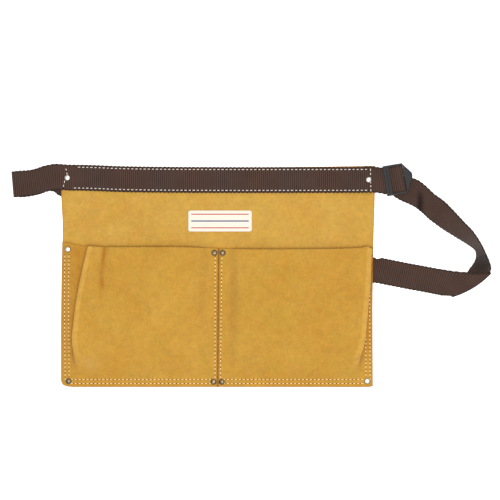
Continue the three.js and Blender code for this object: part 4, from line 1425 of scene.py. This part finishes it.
def thread_material(name, dark, light):
    grain, relief, rough = (2400, 2, 0.6), (0.00015, 0.6), (0.65, 0.85)
    sheen = {"Sheen_Weight": 0.2, "Specular_IOR_Level": 0.25}
    return grained_material(name, (dark, light), grain, (0.35, 0.65), relief, rough, **sheen)


# Dark colour for the needle holes: painted shade in the holes
def hole_shade_material(name, dark, light):
    hole = Surface(name, Specular_IOR_Level=0.05)
    depth = hole.noise(hole.place(), 1500, 2)
    colour = hole.mix(depth, dark, light)
    return hole.finish(colour, hole.remap(depth, 0, 1, 0.9, 1))


def label_material():
    """A cream patch with a pale rim and plain thin stripes."""
    cloth = Surface("label_patch", Specular_IOR_Level=0.3)
    split = cloth.add("SeparateXYZ", {"Vector": cloth.uv()})
    across = cloth.maths("ABSOLUTE", split.outputs[0])
    up = cloth.maths("ABSOLUTE", split.outputs[1])
    fibre = cloth.noise(cloth.place(), 1800, 3)
    colour = cloth.mix(fibre, linear(212, 203, 188), linear(228, 220, 206))

    def within(value, low, high):
        above = cloth.maths("GREATER_THAN", value, low * METRES)
        return cloth.maths("MULTIPLY", above, cloth.maths("LESS_THAN", value, high * METRES))

    inside = cloth.maths("LESS_THAN", across, (LABEL_WIDTH / 2 - 3) * METRES)
    red = cloth.maths("MULTIPLY", within(up, 6.1, 7.1), inside)
    blue = cloth.maths("MULTIPLY", within(up, -1, 0.6), inside)
    colour = cloth.mix(red, colour, linear(176, 52, 44))
    colour = cloth.mix(blue, colour, linear(52, 66, 112))
    return cloth.finish(colour, cloth.remap(fibre, 0.3, 0.7, 0.5, 0.65), cloth.bump(fibre, 0.00008, 0.6))


def floor_material():
    paper = Surface("paper", Roughness=0.9, Specular_IOR_Level=0.1, Emission_Strength=FLOOR_GLOW)
    paper.shader.inputs["Emission Color"].default_value = (1, 1, 1, 1)
    fibre = paper.noise(paper.place(), 300, 2)
    return paper.finish(paper.mix(fibre, (0.97, 0.97, 0.97, 1), (1, 1, 1, 1)))


# Camera, floor and lights

def add_camera():
    lens = bpy.data.cameras.new("camera")
    lens.lens = LENS
    lens.sensor_width = SENSOR
    camera = add_object("camera", lens)
    camera.location = [c * METRES for c in (*CAMERA_CENTRE, CAMERA_HEIGHT)]
    bpy.context.scene.camera = camera


def add_floor():
    half = FLOOR_SIZE / 2
    corners = [(-half, -half, 0), (half, -half, 0), (half, half, 0), (-half, half, 0)]
    floor = mesh_object("floor", corners, [(0, 1, 2, 3)], smooth=False)
    floor.data.materials.append(floor_material())


def add_light(name, place, size, power):
    lamp = bpy.data.lights.new(name, "AREA")
    lamp.size = size
    lamp.energy = power
    light = add_object(name, lamp)
    light.location = place
    light.rotation_euler = (-Vector(place)).to_track_quat("-Z", "Y").to_euler()


def add_world():
    world = bpy.data.worlds.new("studio")
    world.use_nodes = True
    background = world.node_tree.nodes["Background"]
    background.inputs["Color"].default_value = (1, 1, 1, 1)
    background.inputs["Strength"].default_value = WORLD_LIGHT
    bpy.context.scene.world = world


add_camera()
add_floor()
add_world()
for name, (place, size, power) in LIGHTS.items():
    add_light(name, place, size, power)
bpy.context.scene.view_settings.view_transform = "Standard"

panel_leather = leather_material(
    "panel_leather",
    linear(193, 151, 68),
    linear(187, 138, 55),
    linear(173, 136, 65),
    linear(185, 148, 59),
    PANEL_MARKS,
)
pocket_leather = leather_material(
    "pocket_leather",
    linear(187, 142, 57),
    linear(179, 129, 44),
    linear(166, 125, 53),
    linear(178, 140, 52),
    POCKET_MARKS,
)
# Bright nickel for most rivets. The darker copy is a painted dark reflection, and the rim material paints
# shade and dark reflection round each head's edge.
nickel = nickel_material("nickel", linear(226, 222, 214), linear(182, 176, 164), 0.26)
dark_reflection_nickel = nickel_material("dark_reflection_nickel", linear(128, 112, 88), linear(58, 46, 32), 0.28)
painted_dark_rim = nickel_material("rivet_painted_dark_rim", linear(120, 108, 90), linear(74, 62, 46), 0.35)
thread = thread_material("thread", linear(226, 184, 122), linear(248, 214, 156))
pale_thread = thread_material("pale_thread", linear(206, 190, 178), linear(232, 220, 210))
needle_hole_shade = hole_shade_material("needle_hole_shade", linear(84, 48, 12), linear(118, 76, 26))
belt_hole_shade = hole_shade_material("belt_hole_shade", linear(18, 12, 9), linear(34, 26, 21))

panel = finish_piece(panel_piece(), panel_leather, ["back_panel"])
left_pocket = finish_piece(
    pocket_piece("left_pocket_leather", LEFT_POCKET), pocket_leather, ["left_pocket"]
)
right_pocket = finish_piece(
    pocket_piece("right_pocket_leather", RIGHT_POCKET), pocket_leather, ["right_pocket"]
)
belt = finish_piece(belt_piece(), webbing_material(), ["belt"])
finish_piece(label_piece(), label_material(), ["label"])
finish_piece(buckle_piece(), plastic_material(), ["buckle"])
# The centre rivets and the lower left one get the darker nickel, as a painted dark reflection
for rivet, (place, grip) in rivet_places().items():
    dark = "centre" in rivet or rivet.endswith("left_bottom")
    rivet_piece(rivet, place, grip, dark_reflection_nickel if dark else nickel, painted_dark_rim)

stitches("belt", belt_stitch_lines(), BELT_PITCH, belt_top, pale_thread, belt_hole_shade)
for name, pocket in (("left_pocket", LEFT_POCKET), ("right_pocket", RIGHT_POCKET)):
    stitches(name, pocket_stitch_lines(pocket), POCKET_PITCH, flange_top, thread, needle_hole_shade)

for piece, pocket in ((left_pocket, LEFT_POCKET), (right_pocket, RIGHT_POCKET)):
    cuts = [pocket_section(pocket, height)[2][-1] for height in np.linspace(0, 1, 21)]
